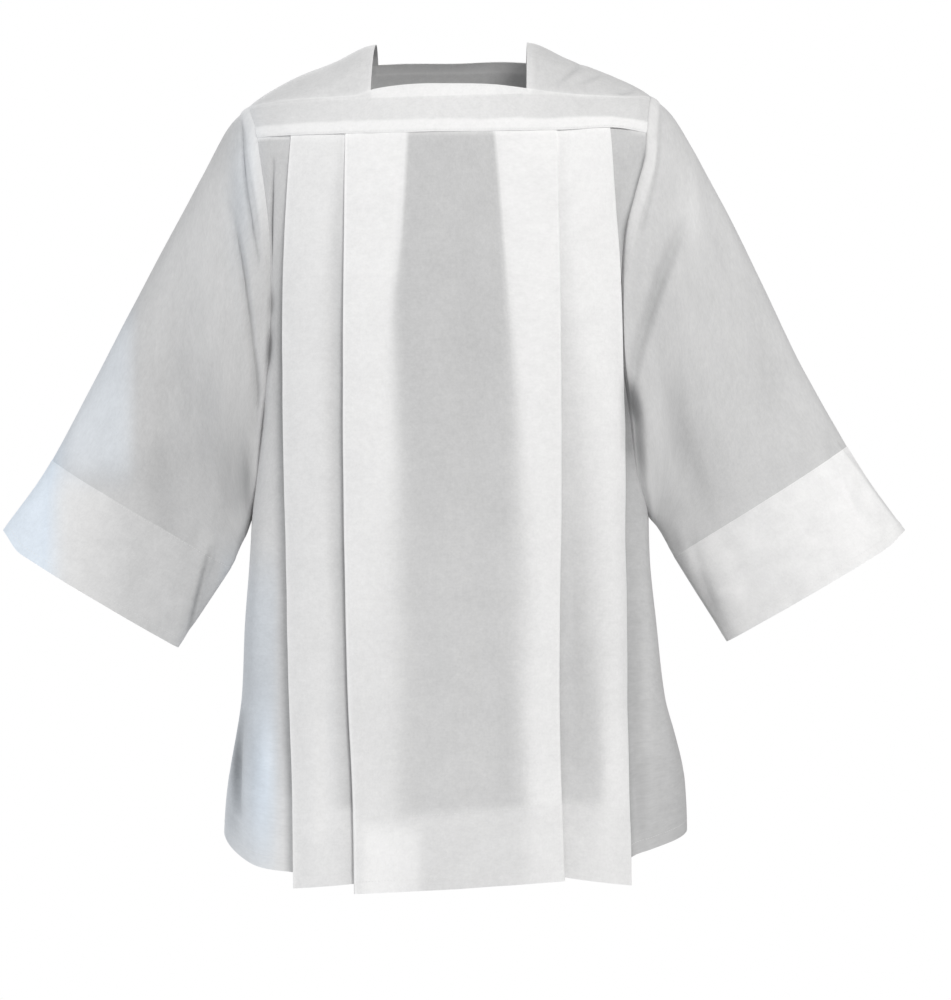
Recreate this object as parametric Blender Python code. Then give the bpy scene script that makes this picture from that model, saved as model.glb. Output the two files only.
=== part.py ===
"""A surplice: a white choir vestment with a yoke, two knife pleats on each side
of the front and back, wide sleeves and deep sleeve hems, in the shape that it
takes when it is worn.

Metres, +Z up, X to the right of someone facing the garment, Y towards its back.
The origin is where the wearer holds it: on the shoulder ridge, midway between
the two neck edges. Run with blender --background --python part.py, or from the
text editor.
"""
import math

import bpy
import numpy as np

for old_object in list(bpy.data.objects):
    bpy.data.objects.remove(old_object, do_unlink=True)

# ---------------------------------------------------------------- driving sizes
CLOTH = 0.0013            # wall of a single layer
CUFF_CLOTH = 0.0018       # wall of the doubled sleeve hem
HEM_CLOTH = 0.0018        # wall of the panels' turned hem
HEM_TOP = -0.830          # upper edge of the turned hem
SEAM_GAP = 0.0003         # clear space between two pieces at a seam
CHEST_HEIGHT = -0.140     # below it the body hangs straight, above it rounds over
YOKE_LAP = 0.012          # how far the yoke covers the tops of the pleats
LAP_DEPTH = 0.0025        # the pleated panel starts this far behind the yoke
PRESSED = 0.0030          # depth from one layer to the next at a pressed fold
HEM_OPENING = 0.0050      # extra depth of a pleat's hidden layers at the hem
TUCK = 0.0050             # a hidden fold stops this far short of the fold over it
NECK_LEFT = -0.0825       # the strap's neck edge on the ridge
NECK_RIGHT = 0.0825
BACK_NECK_ANGLE = math.radians(26)   # how far behind the ridge the back yoke starts
FRONT, BACK = -1, 1
LEFT, RIGHT = -1, 1


def table(columns, rows):
    """A table whose columns are read by name."""
    return dict(zip(columns.split(), np.array(rows, dtype=float).T))


def read(source, column, at):
    """Read a column smoothly at a value of the table's first column."""
    names = list(source)
    stations, values = source[names[0]], source[column]
    if stations[0] > stations[-1]:
        stations, values = stations[::-1], values[::-1]
    slopes = np.gradient(values, stations)
    at = np.clip(np.asarray(at, dtype=float), stations[0], stations[-1])
    row = np.clip(np.searchsorted(stations, at, side="right") - 1, 0, len(stations) - 2)
    span = stations[row + 1] - stations[row]
    part = (at - stations[row]) / span
    first = (1 + 2 * part) * (1 - part) ** 2 * values[row]
    second = part ** 2 * (3 - 2 * part) * values[row + 1]
    first_slope = part * (1 - part) ** 2 * span * slopes[row]
    second_slope = part ** 2 * (part - 1) * span * slopes[row + 1]
    return first + second + first_slope + second_slope


def ease(part):
    """Go from 0 to 1 with soft ends."""
    part = np.clip(part, 0.0, 1.0)
    return part * part * (3 - 2 * part)


# Body: half widths to the left and right, and depths in front and behind.
BODY = table("height left right front back squareness", [
    (-0.140, 0.2350, 0.2330, 0.116, 0.112, 2.40),
    (-0.250, 0.2225, 0.2200, 0.124, 0.122, 2.40),
    (-0.400, 0.2192, 0.2165, 0.127, 0.125, 2.40),
    (-0.517, 0.2190, 0.2158, 0.129, 0.127, 2.40),
    (-0.565, 0.2215, 0.2172, 0.131, 0.129, 2.40),
    (-0.632, 0.2265, 0.2240, 0.135, 0.133, 2.42),
    (-0.720, 0.2305, 0.2345, 0.142, 0.139, 2.45),
    (-0.770, 0.2365, 0.2450, 0.147, 0.143, 2.47),
    (-0.815, 0.2425, 0.2530, 0.153, 0.147, 2.50),
    (-0.865, 0.2470, 0.2565, 0.159, 0.152, 2.50),
    (-0.912, 0.2490, 0.2575, 0.164, 0.157, 2.50),
])

# Shoulder ridge: its height at each distance from the middle.
RIDGE = table("out left right", [
    (0.000, 0.0010, 0.0030),
    (0.070, 0.0008, 0.0034),
    (0.090, -0.0010, 0.0010),
    (0.125, -0.0180, -0.0150),
    (0.178, -0.0396, -0.0350),
    (0.211, -0.0590, -0.0510),
    (0.245, -0.0860, -0.0800),
])

# Armhole seam: how far out it runs at each height.
ARMHOLE = table("height left right", [
    (-0.050, 0.2220, 0.2190),
    (-0.070, 0.2215, 0.2150),
    (-0.100, 0.2120, 0.2110),
    (-0.128, 0.2070, 0.2090),
    (-0.165, 0.2010, 0.1990),
    (-0.205, 0.1965, 0.1925),
    (-0.250, 0.1950, 0.1920),
    (-0.300, 0.1955, 0.1940),
    (-0.350, 0.1980, 0.1950),
    (-0.400, 0.2025, 0.1960),
    (-0.445, 0.2078, 0.1990),
    (-0.480, 0.2120, 0.2045),
    (-0.500, 0.2158, 0.2105),
    (-0.517, 0.2190, 0.2158),
])
ARMHOLE_LEVELS = list(ARMHOLE["height"][3:])
STRAP_STEPS = 4           # armhole points from the ridge to the yoke's seam
YOKE_STEPS = 3            # armhole points down the end of the yoke

# Yoke: heights of its upper edge and of its lower edge in front.
YOKE_FRONT = table("across top bottom", [
    (-0.230, -0.0740, -0.1084),
    (-0.190, -0.0708, -0.1085),
    (-0.125, -0.0690, -0.1092),
    (-0.083, -0.0612, -0.1092),
    (-0.050, -0.0560, -0.1088),
    (0.000, -0.0547, -0.1080),
    (0.050, -0.0562, -0.1072),
    (0.083, -0.0602, -0.1063),
    (0.125, -0.0640, -0.1045),
    (0.169, -0.0640, -0.1000),
    (0.230, -0.0600, -0.1040),
])
YOKE_BACK_BOTTOM = -0.106

# Knife pleats: where each fold lies across the front, at each height. Each pleat
# shows its outer or inner fold and turns back at a return fold under it.
FRONT_PLEATS = table("height left_outer left_inner left_return "
                     "right_return right_inner right_outer", [
    (-0.095, -0.1710, -0.1123, -0.0450, 0.0440, 0.1122, 0.1675),
    (-0.160, -0.1749, -0.1126, -0.0480, 0.0500, 0.1130, 0.1715),
    (-0.227, -0.1778, -0.1130, -0.0525, 0.0555, 0.1143, 0.1770),
    (-0.292, -0.1790, -0.1136, -0.0600, 0.0610, 0.1150, 0.1812),
    (-0.372, -0.1791, -0.1139, -0.0590, 0.0670, 0.1156, 0.1845),
    (-0.502, -0.1765, -0.1128, -0.0545, 0.0740, 0.1163, 0.1855),
    (-0.588, -0.1741, -0.1106, -0.0560, 0.0768, 0.1148, 0.1864),
    (-0.695, -0.1714, -0.1075, -0.0575, 0.0755, 0.1132, 0.1872),
    (-0.814, -0.1683, -0.1030, -0.0560, 0.0790, 0.1150, 0.1890),
    (-0.906, -0.1656, -0.0989, -0.0550, 0.0800, 0.1174, 0.1905),
])
BACK_PLEATS = table("height left_outer left_inner left_return "
                    "right_return right_inner right_outer", [
    (-0.095, -0.1690, -0.1120, -0.0450, 0.0450, 0.1120, 0.1690),
    (-0.300, -0.1790, -0.1130, -0.0580, 0.0580, 0.1130, 0.1790),
    (-0.600, -0.1790, -0.1110, -0.0600, 0.0600, 0.1110, 0.1790),
    (-0.906, -0.1770, -0.1070, -0.0620, 0.0620, 0.1070, 0.1790),
])
HEM_ROWS = [-0.570, -0.630, -0.700, -0.770, -0.832, -0.905]
HEM_START = -0.720        # above it the rows are level, below they follow the hem

# Hem heights: at the side seam, the layer under the outer fold, the outer fold,
# the pleat beside the inner fold, the inner fold and the middle.
FRONT_HEM = {
    LEFT: dict(side=-0.861, under=-0.893, outer=-0.9086, beside=-0.9014, inner=-0.9115),
    RIGHT: dict(side=-0.838, under=-0.880, outer=-0.9066, beside=-0.8950, inner=-0.8985),
}
BACK_HEM = {
    LEFT: dict(side=-0.861, under=-0.893, outer=-0.903, beside=-0.901, inner=-0.906),
    RIGHT: dict(side=-0.838, under=-0.878, outer=-0.902, beside=-0.899, inner=-0.903),
}
MIDDLE_HEM = {FRONT: -0.9060, BACK: -0.9060}

CUFF_DIP = {LEFT: 0.0095, RIGHT: 0.0045}  # how far the hem falls below its upper corner
CUFF_START = 0.82         # share of the way along at which the doubled hem starts
ROUND_ENDS = 0.45         # power of a ring's fullness: smaller is squarer
SEAM_REACH = 0.26         # the ring takes over from the armhole's shape by here
EVEN_REACH = 0.40         # a ring's points are evenly spread by here

# Sleeves: the upper edge, the underside and the depths, from armhole to hem.
SLEEVE_LEFT = table("along top_out top_height low_out low_height front back lean", [
    (0.00, 0.2220, -0.0680, 0.2190, -0.5170, 0.074, 0.074, 0.00),
    (0.12, 0.2463, -0.0925, 0.2225, -0.5280, 0.073, 0.071, 0.08),
    (0.25, 0.2782, -0.1530, 0.2260, -0.5375, 0.070, 0.067, 0.18),
    (0.40, 0.3145, -0.2189, 0.2290, -0.5430, 0.065, 0.063, 0.28),
    (0.55, 0.3519, -0.2904, 0.2325, -0.5500, 0.060, 0.058, 0.36),
    (0.70, 0.3959, -0.3751, 0.2368, -0.5600, 0.056, 0.054, 0.42),
    (CUFF_START, 0.4390, -0.4555, 0.2430, -0.5731, 0.053, 0.051, 0.46),
    (1.00, 0.4927, -0.5324, 0.3013, -0.6611, 0.051, 0.049, 0.50),
])
SLEEVE_RIGHT = table("along top_out top_height low_out low_height front back lean", [
    (0.00, 0.2190, -0.0560, 0.2158, -0.5170, 0.076, 0.074, 0.00),
    (0.12, 0.2422, -0.0770, 0.2195, -0.5215, 0.075, 0.071, 0.08),
    (0.25, 0.2715, -0.1276, 0.2238, -0.5262, 0.071, 0.067, 0.18),
    (0.40, 0.3068, -0.1925, 0.2275, -0.5310, 0.066, 0.063, 0.28),
    (0.55, 0.3412, -0.2629, 0.2312, -0.5370, 0.061, 0.058, 0.36),
    (0.70, 0.3862, -0.3564, 0.2367, -0.5470, 0.057, 0.054, 0.42),
    (CUFF_START, 0.4338, -0.4400, 0.2444, -0.5610, 0.054, 0.051, 0.46),
    (1.00, 0.4974, -0.5324, 0.3027, -0.6545, 0.052, 0.049, 0.50),
])
SLEEVES = {LEFT: SLEEVE_LEFT, RIGHT: SLEEVE_RIGHT}

# Sleeve folds: each is a soft trough from one place to another, by the share of
# the way along the sleeve and the share of the way down round it.
SLEEVE_FOLDS = table("side from_along from_share to_along to_share depth width", [
    (LEFT, 0.15, 0.22, 0.05, 0.70, 0.011, 0.045),
    (LEFT, 0.30, 0.30, 0.78, 0.62, 0.004, 0.080),
    (RIGHT, 0.21, 0.25, 0.05, 0.66, 0.010, 0.045),
    (RIGHT, 0.22, 0.70, 0.55, 0.80, 0.005, 0.060),
])
FOLD_STRETCH = 2.0        # a share round the sleeve counts this much less than one along
SLEEVE_STATIONS = [0.0, 0.06, 0.13, 0.21, 0.30, 0.40, 0.52, 0.66, CUFF_START]
CUFF_STATIONS = [CUFF_START, 0.91, 1.0]
SIDE_NAME = {LEFT: "left", RIGHT: "right"}
FACE_NAME = {FRONT: "front", BACK: "back"}


# ------------------------------------------------------------------- body shell
def half_width(height, side):
    return read(BODY, SIDE_NAME[side], height)


def turn_at(out, height, side):
    """The share of the way round the body, 0 in the middle and 1 at the side."""
    ratio = np.clip(np.abs(out) / half_width(height, side), 0.0, 1.0)
    return 2 / math.pi * np.arcsin(ratio ** (read(BODY, "squareness", height) / 2))


def shell_point(turn, height, side, face):
    """A point of the body's cloth on a level, in front or behind."""
    width = half_width(height, side)
    power = read(BODY, "squareness", height)
    out = width * np.sin(turn * math.pi / 2) ** (2 / power)
    round_off = np.cos(np.clip(turn, 0.0, 1.0) * math.pi / 2) ** (2 / power)
    depth = read(BODY, FACE_NAME[face], height) * round_off
    if height > CHEST_HEIGHT:
        top = read(RIDGE, SIDE_NAME[side], out)
        rise = np.clip((height - CHEST_HEIGHT) / (top - CHEST_HEIGHT), 0.0, 1.0)
        depth = depth * math.sqrt(1 - rise * rise)
    return np.array([side * out, face * depth])


def shell_normal(turn, height, side, face):
    """The level direction that points into the body."""
    step = 0.004
    ahead = shell_point(min(turn + step, 1.0), height, side, face)
    behind = shell_point(max(turn - step, 0.0), height, side, face)
    along = ahead - behind
    if turn <= step:
        along = np.array([side, 0.0])
    if turn >= 1.0:
        along = np.array([0.0, -face])
    inward = np.array([-along[1], along[0]])
    if inward[1] * face > 0 or (turn >= 1.0 and inward[0] * side > 0):
        inward = -inward
    return inward / np.linalg.norm(inward)


def strap_point(across, angle, face):
    """A point of the cloth over the shoulders: angle 0 is the ridge."""
    side = LEFT if across < 0 else RIGHT
    out = abs(across)
    top = read(RIDGE, SIDE_NAME[side], out)
    power = read(BODY, "squareness", CHEST_HEIGHT)
    ratio = (out / half_width(CHEST_HEIGHT, side)) ** power
    depth = read(BODY, FACE_NAME[face], CHEST_HEIGHT) * (1 - ratio) ** (1 / power)
    height = top - (top - CHEST_HEIGHT) * (1 - math.cos(angle))
    return np.array([across, face * depth * math.sin(angle), height])


def strap_normal(across, angle, face):
    """The direction that points away from the shoulders."""
    reach, swing = 0.002, 0.02
    along = strap_point(across + reach, angle, face) - strap_point(across - reach, angle, face)
    down = strap_point(across, angle + swing, face) - strap_point(across, angle - swing, face)
    normal = np.cross(along, down) * face
    return normal / np.linalg.norm(normal)


def strap_angle(across, height):
    """The angle at which the shoulder cloth reaches a height."""
    side = LEFT if across < 0 else RIGHT
    top = read(RIDGE, SIDE_NAME[side], abs(across))
    return math.acos(np.clip((height - CHEST_HEIGHT) / (top - CHEST_HEIGHT), -1.0, 1.0))


def seam_angle(across, face):
    """Where the strap meets the yoke."""
    if face == BACK:
        return BACK_NECK_ANGLE
    return strap_angle(across, read(YOKE_FRONT, "top", across))


def yoke_bottom(across, face):
    if face == BACK:
        return YOKE_BACK_BOTTOM
    return read(YOKE_FRONT, "bottom", across)


# ---------------------------------------------------------------- armhole seams
def armhole_edge(side, face):
    """Points of one armhole seam from the ridge to the underarm."""
    points = []
    ridge_out = ARMHOLE["height"][0]
    out = side * read(ARMHOLE, SIDE_NAME[side], ridge_out)
    yoke_end = side * read(ARMHOLE, SIDE_NAME[side], -0.105)
    top_angle = seam_angle(out, face)
    low_angle = strap_angle(yoke_end, yoke_bottom(yoke_end, face))
    steps = STRAP_STEPS + YOKE_STEPS
    for step in range(steps + 1):
        if step <= STRAP_STEPS:
            angle = top_angle * step / STRAP_STEPS
        else:
            angle = top_angle + (low_angle - top_angle) * (step - STRAP_STEPS) / YOKE_STEPS
        guess = strap_point(out, angle, face)
        across = side * read(ARMHOLE, SIDE_NAME[side], guess[2])
        points.append(strap_point(across, angle, face))
    for height in ARMHOLE_LEVELS:
        reach = read(ARMHOLE, SIDE_NAME[side], height)
        turn = 1.0 if height == ARMHOLE_LEVELS[-1] else turn_at(reach, height, side)
        point = shell_point(turn, height, side, face)
        points.append(np.array([point[0], point[1], height]))
    return np.array(points)


EDGES = {(side, face): armhole_edge(side, face)
         for side in (LEFT, RIGHT) for face in (FRONT, BACK)}
EDGE_STEPS = len(EDGES[LEFT, FRONT]) - 1


def unit(vectors):
    return vectors / np.linalg.norm(vectors, axis=-1, keepdims=True)


# ----------------------------------------------------------------------- sleeves
def fold_depth(side, along, share):
    """How far the sleeve's folds take the cloth in at each share of a ring."""
    total = np.zeros_like(share)
    for row in range(len(SLEEVE_FOLDS["side"])):
        fold = {name: values[row] for name, values in SLEEVE_FOLDS.items()}
        if fold["side"] != side:
            continue
        run_along = fold["to_along"] - fold["from_along"]
        run_share = (fold["to_share"] - fold["from_share"]) / FOLD_STRETCH
        to_along = along - fold["from_along"]
        to_share = (share - fold["from_share"]) / FOLD_STRETCH
        place = (to_along * run_along + to_share * run_share) / (run_along ** 2 + run_share ** 2)
        nearest = np.clip(place, 0.0, 1.0)
        away = np.hypot(to_along - nearest * run_along, to_share - nearest * run_share)
        total += fold["depth"] * np.exp(-(away / fold["width"]) ** 2)
    return total


def sleeve_half(side, face, along):
    """Half of a sleeve's ring, from its upper edge to its underside."""
    source = SLEEVES[side]
    top = np.array([side * read(source, "top_out", along), 0.0, read(source, "top_height", along)])
    low = np.array([side * read(source, "low_out", along), 0.0, read(source, "low_height", along)])
    edge = EDGES[side, face]
    edge_share = (edge[0, 2] - edge[:, 2]) / (edge[0, 2] - edge[-1, 2])
    even_share = (1 - np.cos(np.linspace(0, math.pi, EDGE_STEPS + 1))) / 2
    share = edge_share + (even_share - edge_share) * ease(along / EVEN_REACH)
    lean = read(source, "lean", along)
    fullness = (4 * share * (1 - share)).clip(0) ** ROUND_ENDS * (1 - lean * share ** 1.5)
    depth = read(source, FACE_NAME[face], along) * fullness
    depth = depth - fold_depth(side, along, share) * ease(fullness * 1.5)
    ring = top + share[:, None] * (low - top)
    ring[:, 1] = face * depth
    down_sleeve = np.array([top[2] - low[2], 0.0, -abs(top[0] - low[0])]) * [side, 1.0, 1.0]
    toward_hem = ease((along - CUFF_START) / (1 - CUFF_START))
    dip = CUFF_DIP[side] * toward_hem * ease(share / 0.15) * (1 - share)
    ring += dip[:, None] * unit(down_sleeve)
    top_start = np.array([side * source["top_out"][0], 0.0, source["top_height"][0]])
    low_start = np.array([side * source["low_out"][0], 0.0, source["low_height"][0]])
    seam = edge + (top - top_start) * (1 - share[:, None]) + (low - low_start) * share[:, None]
    keep = 1 - ease(along / SEAM_REACH)
    return seam * keep + ring * (1 - keep)


def sleeve_ring(side, along):
    front = sleeve_half(side, FRONT, along)
    back = sleeve_half(side, BACK, along)
    return np.concatenate([front, back[-2:0:-1]])


def sleeve_grid(side):
    stations = SLEEVE_STATIONS + CUFF_STATIONS[1:]
    return np.array([sleeve_ring(side, along) for along in stations])


def outward_normals(grid):
    """Normals of a tube, a grid of rings, that point away from its middle."""
    down = np.gradient(grid, axis=0)
    along = (np.roll(grid, -1, axis=1) - np.roll(grid, 1, axis=1)) / 2
    normals = unit(np.cross(along, down))
    middle = grid.mean(axis=1, keepdims=True)
    facing = np.sum(normals * (grid - middle), axis=2).mean()
    return normals if facing > 0 else -normals


def body_normals(side, face):
    """Outward normals of the body's cloth along an armhole seam."""
    edge = EDGES[side, face]
    normals = []
    for step, point in enumerate(edge):
        if step <= STRAP_STEPS + YOKE_STEPS:
            normal = strap_normal(point[0], strap_angle(point[0], point[2]), face)
        else:
            turn = turn_at(abs(point[0]), point[2], side)
            inward = shell_normal(1.0 if step == EDGE_STEPS else turn, point[2], side, face)
            normal = np.array([-inward[0], -inward[1], 0.0])
        normals.append(normal)
    return unit(np.array(normals))


CLEAR_OF_BODY = 0.0016    # where they meet square, the sleeve starts this far out


class Seam:
    """An armhole seam's shared mitre: what each neighbour adds to the mid line."""

    def __init__(self, side, grid, normals):
        self.body, self.sleeve, self.shift = {}, {}, {}
        for face in (FRONT, BACK):
            index = (-face * np.arange(EDGE_STEPS + 1)) % (2 * EDGE_STEPS)
            own = body_normals(side, face)
            tube = normals[0][index]
            agree = np.sum(own * tube, axis=1)
            shared = unit(own + tube + 1e-6)
            weight = ease((agree + 0.1) / 0.6)[:, None]
            for store, mine in ((self.body, own), (self.sleeve, tube)):
                blend = unit(mine * (1 - weight) + shared * weight)
                stretch = 1 / np.maximum(np.sum(blend * mine, axis=1, keepdims=True), 0.6)
                store[face] = blend * stretch
            self.shift[face] = (1 - weight) * np.array([side * CLEAR_OF_BODY, 0.0, 0.0])


GRIDS = {side: sleeve_grid(side) for side in (LEFT, RIGHT)}
TUBE_NORMALS = {side: outward_normals(GRIDS[side]) for side in (LEFT, RIGHT)}
SEAMS = {side: Seam(side, GRIDS[side], TUBE_NORMALS[side]) for side in (LEFT, RIGHT)}


# -------------------------------------------------------------------- solid maker
def white_cloth(name, shade):
    material = bpy.data.materials.new(name)
    material.use_nodes = True
    shader = material.node_tree.nodes["Principled BSDF"]
    shader.inputs["Base Color"].default_value = (shade, shade, shade, 1.0)
    shader.inputs["Roughness"].default_value = 0.85
    shader.inputs["Metallic"].default_value = 0.0
    material.diffuse_color = (shade, shade, shade, 1.0)
    return material


def solid(name, outer, inner, ring, material):
    """Join an outer and an inner skin, both grids, into one closed wall."""
    rows, columns = outer.shape[:2]
    points = np.concatenate([outer.reshape(-1, 3), inner.reshape(-1, 3)])
    shift = rows * columns
    faces = []

    def strip(a, b, c, d):
        faces.append((a, b, c))
        faces.append((a, c, d))

    last = columns if ring else columns - 1
    for row in range(rows - 1):
        for column in range(last):
            right = (column + 1) % columns
            a, b = row * columns + column, row * columns + right
            c, d = (row + 1) * columns + right, (row + 1) * columns + column
            strip(a, b, c, d)
            faces.append((shift + c, shift + b, shift + a))
            faces.append((shift + d, shift + c, shift + a))
    for column in range(last):
        right = (column + 1) % columns
        strip(shift + column, shift + right, right, column)
        low = (rows - 1) * columns
        strip(low + column, low + right, shift + low + right, shift + low + column)
    if not ring:
        for row in range(rows - 1):
            a, b = row * columns, (row + 1) * columns
            strip(a, b, shift + b, shift + a)
            a, b = a + columns - 1, b + columns - 1
            strip(shift + a, shift + b, b, a)
    mesh = bpy.data.meshes.new(name)
    mesh.from_pydata([tuple(point) for point in points], [], faces)
    mesh.update()
    volume = sum(
        points[a] @ np.cross(points[b], points[c]) for a, b, c in faces) / 6
    if volume < 0:
        mesh.flip_normals()
    mesh.shade_smooth()
    mesh.set_sharp_from_angle(angle=math.radians(50))
    mesh.materials.append(material)
    piece = bpy.data.objects.new(name, mesh)
    bpy.context.scene.collection.objects.link(piece)
    return piece


def pull_in(skin, axis, end, distance):
    """Move a skin's border towards its inside, along the cloth."""
    border, next_in = (0, 1) if end == 0 else (-1, -2)
    view = np.moveaxis(skin, axis, 0)
    view[border] += unit(view[next_in] - view[border]) * distance


# -------------------------------------------------------------- sleeves and cuffs
def make_sleeve(side):
    grid, normals = GRIDS[side], TUBE_NORMALS[side]
    rows = len(SLEEVE_STATIONS)
    seam = SEAMS[side]
    mitre = np.concatenate([seam.sleeve[FRONT], seam.sleeve[BACK][-2:0:-1]])
    shift = np.concatenate([seam.shift[FRONT], seam.shift[BACK][-2:0:-1]])
    for name, start, stop, cloth in (
            ("sleeve", 0, rows, CLOTH), ("cuff", rows - 1, len(grid), CUFF_CLOTH)):
        middle = grid[start:stop].copy()
        away = normals[start:stop].copy()
        if name == "sleeve":
            away[0] = mitre
            middle[0] += shift
        outer = middle + away * cloth / 2
        inner = middle - away * cloth / 2
        for skin in (outer, inner):
            pull_in(skin, 0, 0, SEAM_GAP / 2)
            if name == "sleeve":
                pull_in(skin, 0, 1, SEAM_GAP / 2)
        shade = 0.80 if name == "sleeve" else 0.88
        label = name + "_" + SIDE_NAME[side]
        solid(label, outer, inner, True, white_cloth(label + "_cloth", shade))


# ----------------------------------------------------------- straps over shoulders
STRAP_COLUMNS = 7


def strap_edge(side, step, face):
    """A strap row runs from its neck edge to the armhole seam."""
    neck = NECK_LEFT if side == LEFT else NECK_RIGHT
    return neck, EDGES[side, face][step, 0]


def strap_rows():
    front = [(step, FRONT) for step in range(STRAP_STEPS, 0, -1)]
    return front + [(step, BACK) for step in range(0, STRAP_STEPS + 1)]


def make_strap(side):
    grid, normals = [], []
    for step, face in strap_rows():
        neck, arm = strap_edge(side, step, face)
        row, away = [], []
        for across in np.linspace(neck, arm, STRAP_COLUMNS):
            angle = seam_angle(across, face) * step / STRAP_STEPS
            row.append(strap_point(across, angle, face))
            away.append(strap_normal(across, angle, face))
        row[-1] = EDGES[side, face][step]
        away[-1] = SEAMS[side].body[face][step]
        grid.append(row)
        normals.append(away)
    grid, normals = np.array(grid), np.array(normals)
    outer, inner = grid + normals * CLOTH / 2, grid - normals * CLOTH / 2
    for skin in (outer, inner):
        pull_in(skin, 1, 1, SEAM_GAP / 2)
        pull_in(skin, 0, 0, SEAM_GAP / 2)
        pull_in(skin, 0, 1, SEAM_GAP / 2)
    name = "shoulder_" + SIDE_NAME[side]
    solid(name, outer, inner, False, white_cloth(name + "_cloth", 0.84))


# -------------------------------------------------------------------------- yokes
YOKE_ROWS = {FRONT: 3, BACK: 6}


def along_armhole(values, part):
    """Read an armhole seam's values part of the way down the yoke's end."""
    place = STRAP_STEPS + part * YOKE_STEPS
    low = min(int(place), STRAP_STEPS + YOKE_STEPS - 1)
    return values[low] + (values[low + 1] - values[low]) * (place - low)


def make_yoke(face):
    count = YOKE_ROWS[face]
    grid, normals = [], []
    for step in range(count + 1):
        part = step / count
        edge = {side: along_armhole(EDGES[side, face], part) for side in (LEFT, RIGHT)}
        left = np.linspace(edge[LEFT][0], NECK_LEFT, STRAP_COLUMNS)
        neck = np.linspace(NECK_LEFT, NECK_RIGHT, STRAP_COLUMNS)
        right = np.linspace(NECK_RIGHT, edge[RIGHT][0], STRAP_COLUMNS)
        row, away = [], []
        for across in np.concatenate([left, neck[1:-1], right]):
            top = seam_angle(across, face)
            bottom = strap_angle(across, yoke_bottom(across, face))
            angle = top + (bottom - top) * part
            row.append(strap_point(across, angle, face))
            away.append(strap_normal(across, angle, face))
        row[0], row[-1] = edge[LEFT], edge[RIGHT]
        away[0] = along_armhole(SEAMS[LEFT].body[face], part)
        away[-1] = along_armhole(SEAMS[RIGHT].body[face], part)
        grid.append(row)
        normals.append(away)
    grid, normals = np.array(grid), np.array(normals)
    outer, inner = grid + normals * CLOTH / 2, grid - normals * CLOTH / 2
    for skin in (outer, inner):
        pull_in(skin, 1, 0, SEAM_GAP / 2)
        pull_in(skin, 1, 1, SEAM_GAP / 2)
        pull_in(skin, 0, 0, SEAM_GAP / 2)
    name = "yoke_" + FACE_NAME[face]
    solid(name, outer, inner, False, white_cloth(name + "_cloth", 0.86))


# ---------------------------------------------------------------- pleated panels
SIDE_COLUMNS = 5          # points between the side edge and the outer fold
TOP_EDGE_DEPTH = 0.0035   # the panel's top corner lies this far behind the yoke
TOP_EDGE_REACH = 0.0040   # and stops this far short of the armhole
CORNER_SHARE = 0.85       # how much of the hem's fall lies at the body's rounded corner
ACROSS_PLEAT = {"outer": 0.0, "third": 1 / 3, "two_thirds": 2 / 3}


def pleat_stations(side, face, height):
    """The folds of one side at a height, from the side towards the middle."""
    pleats = FRONT_PLEATS if face == FRONT else BACK_PLEATS
    name = SIDE_NAME[side]
    outer = abs(read(pleats, name + "_outer", height))
    inner = abs(read(pleats, name + "_inner", height))
    turn_back = abs(read(pleats, name + "_return", height))
    tuck = inner + TUCK
    places = {place: outer + (tuck - outer) * part for place, part in ACROSS_PLEAT.items()}
    return dict(places, tuck=tuck, inner=inner, half=(inner + turn_back) / 2, turn_back=turn_back)


# Depths of each of a side's five layers behind the panel's middle, at places
# from the side inwards: so many pressed folds, and so much of the hem's opening.
PLEAT_DEPTHS = {
    "cover": {"inner": (0.0, 0.0), "half": (0.0, 0.0), "turn_back": (0.0, 0.0)},
    "inner_under": {"inner": (1.0, 0.0), "half": (1.0, 0.5), "turn_back": (1.0, 1.0)},
    "middle": {"outer": (0.5, 0.0), "third": (0.9, 0.3), "two_thirds": (1.4, 0.6),
               "tuck": (1.9, 0.9), "inner": (2.0, 1.0), "half": (2.0, 1.0),
               "turn_back": (2.0, 1.0)},
    "outer_under": {"outer": (1.5, 0.0), "third": (1.9, 0.5), "two_thirds": (2.4, 1.0),
                    "tuck": (2.9, 1.4)},
    "side": {"outer": (2.5, 0.5), "third": (2.9, 0.8), "two_thirds": (3.4, 1.1),
             "tuck": (3.9, 1.4)},
}
# Each layer in order from the side: whether it runs inwards, and the hem
# heights at its outer end and at its inner end.
PLEAT_LAYERS = [
    ("side", True, "under", "beside"),
    ("outer_under", False, "outer", "beside"),
    ("middle", True, "outer", "beside"),
    ("inner_under", False, "inner", "inner"),
    ("cover", True, "inner", "inner"),
]


def pleat_layers(opened):
    """The five layers of a side's two pleats: place, depth and hem, in order."""
    layers = []
    for name, inwards, outer_hem, inner_hem in PLEAT_LAYERS:
        depths = PLEAT_DEPTHS[name]
        for place in depths if inwards else reversed(depths):
            folds, openings = depths[place]
            depth = folds * PRESSED + openings * opened
            layers.append((place, depth, (outer_hem, inner_hem)))
    return layers


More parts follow.
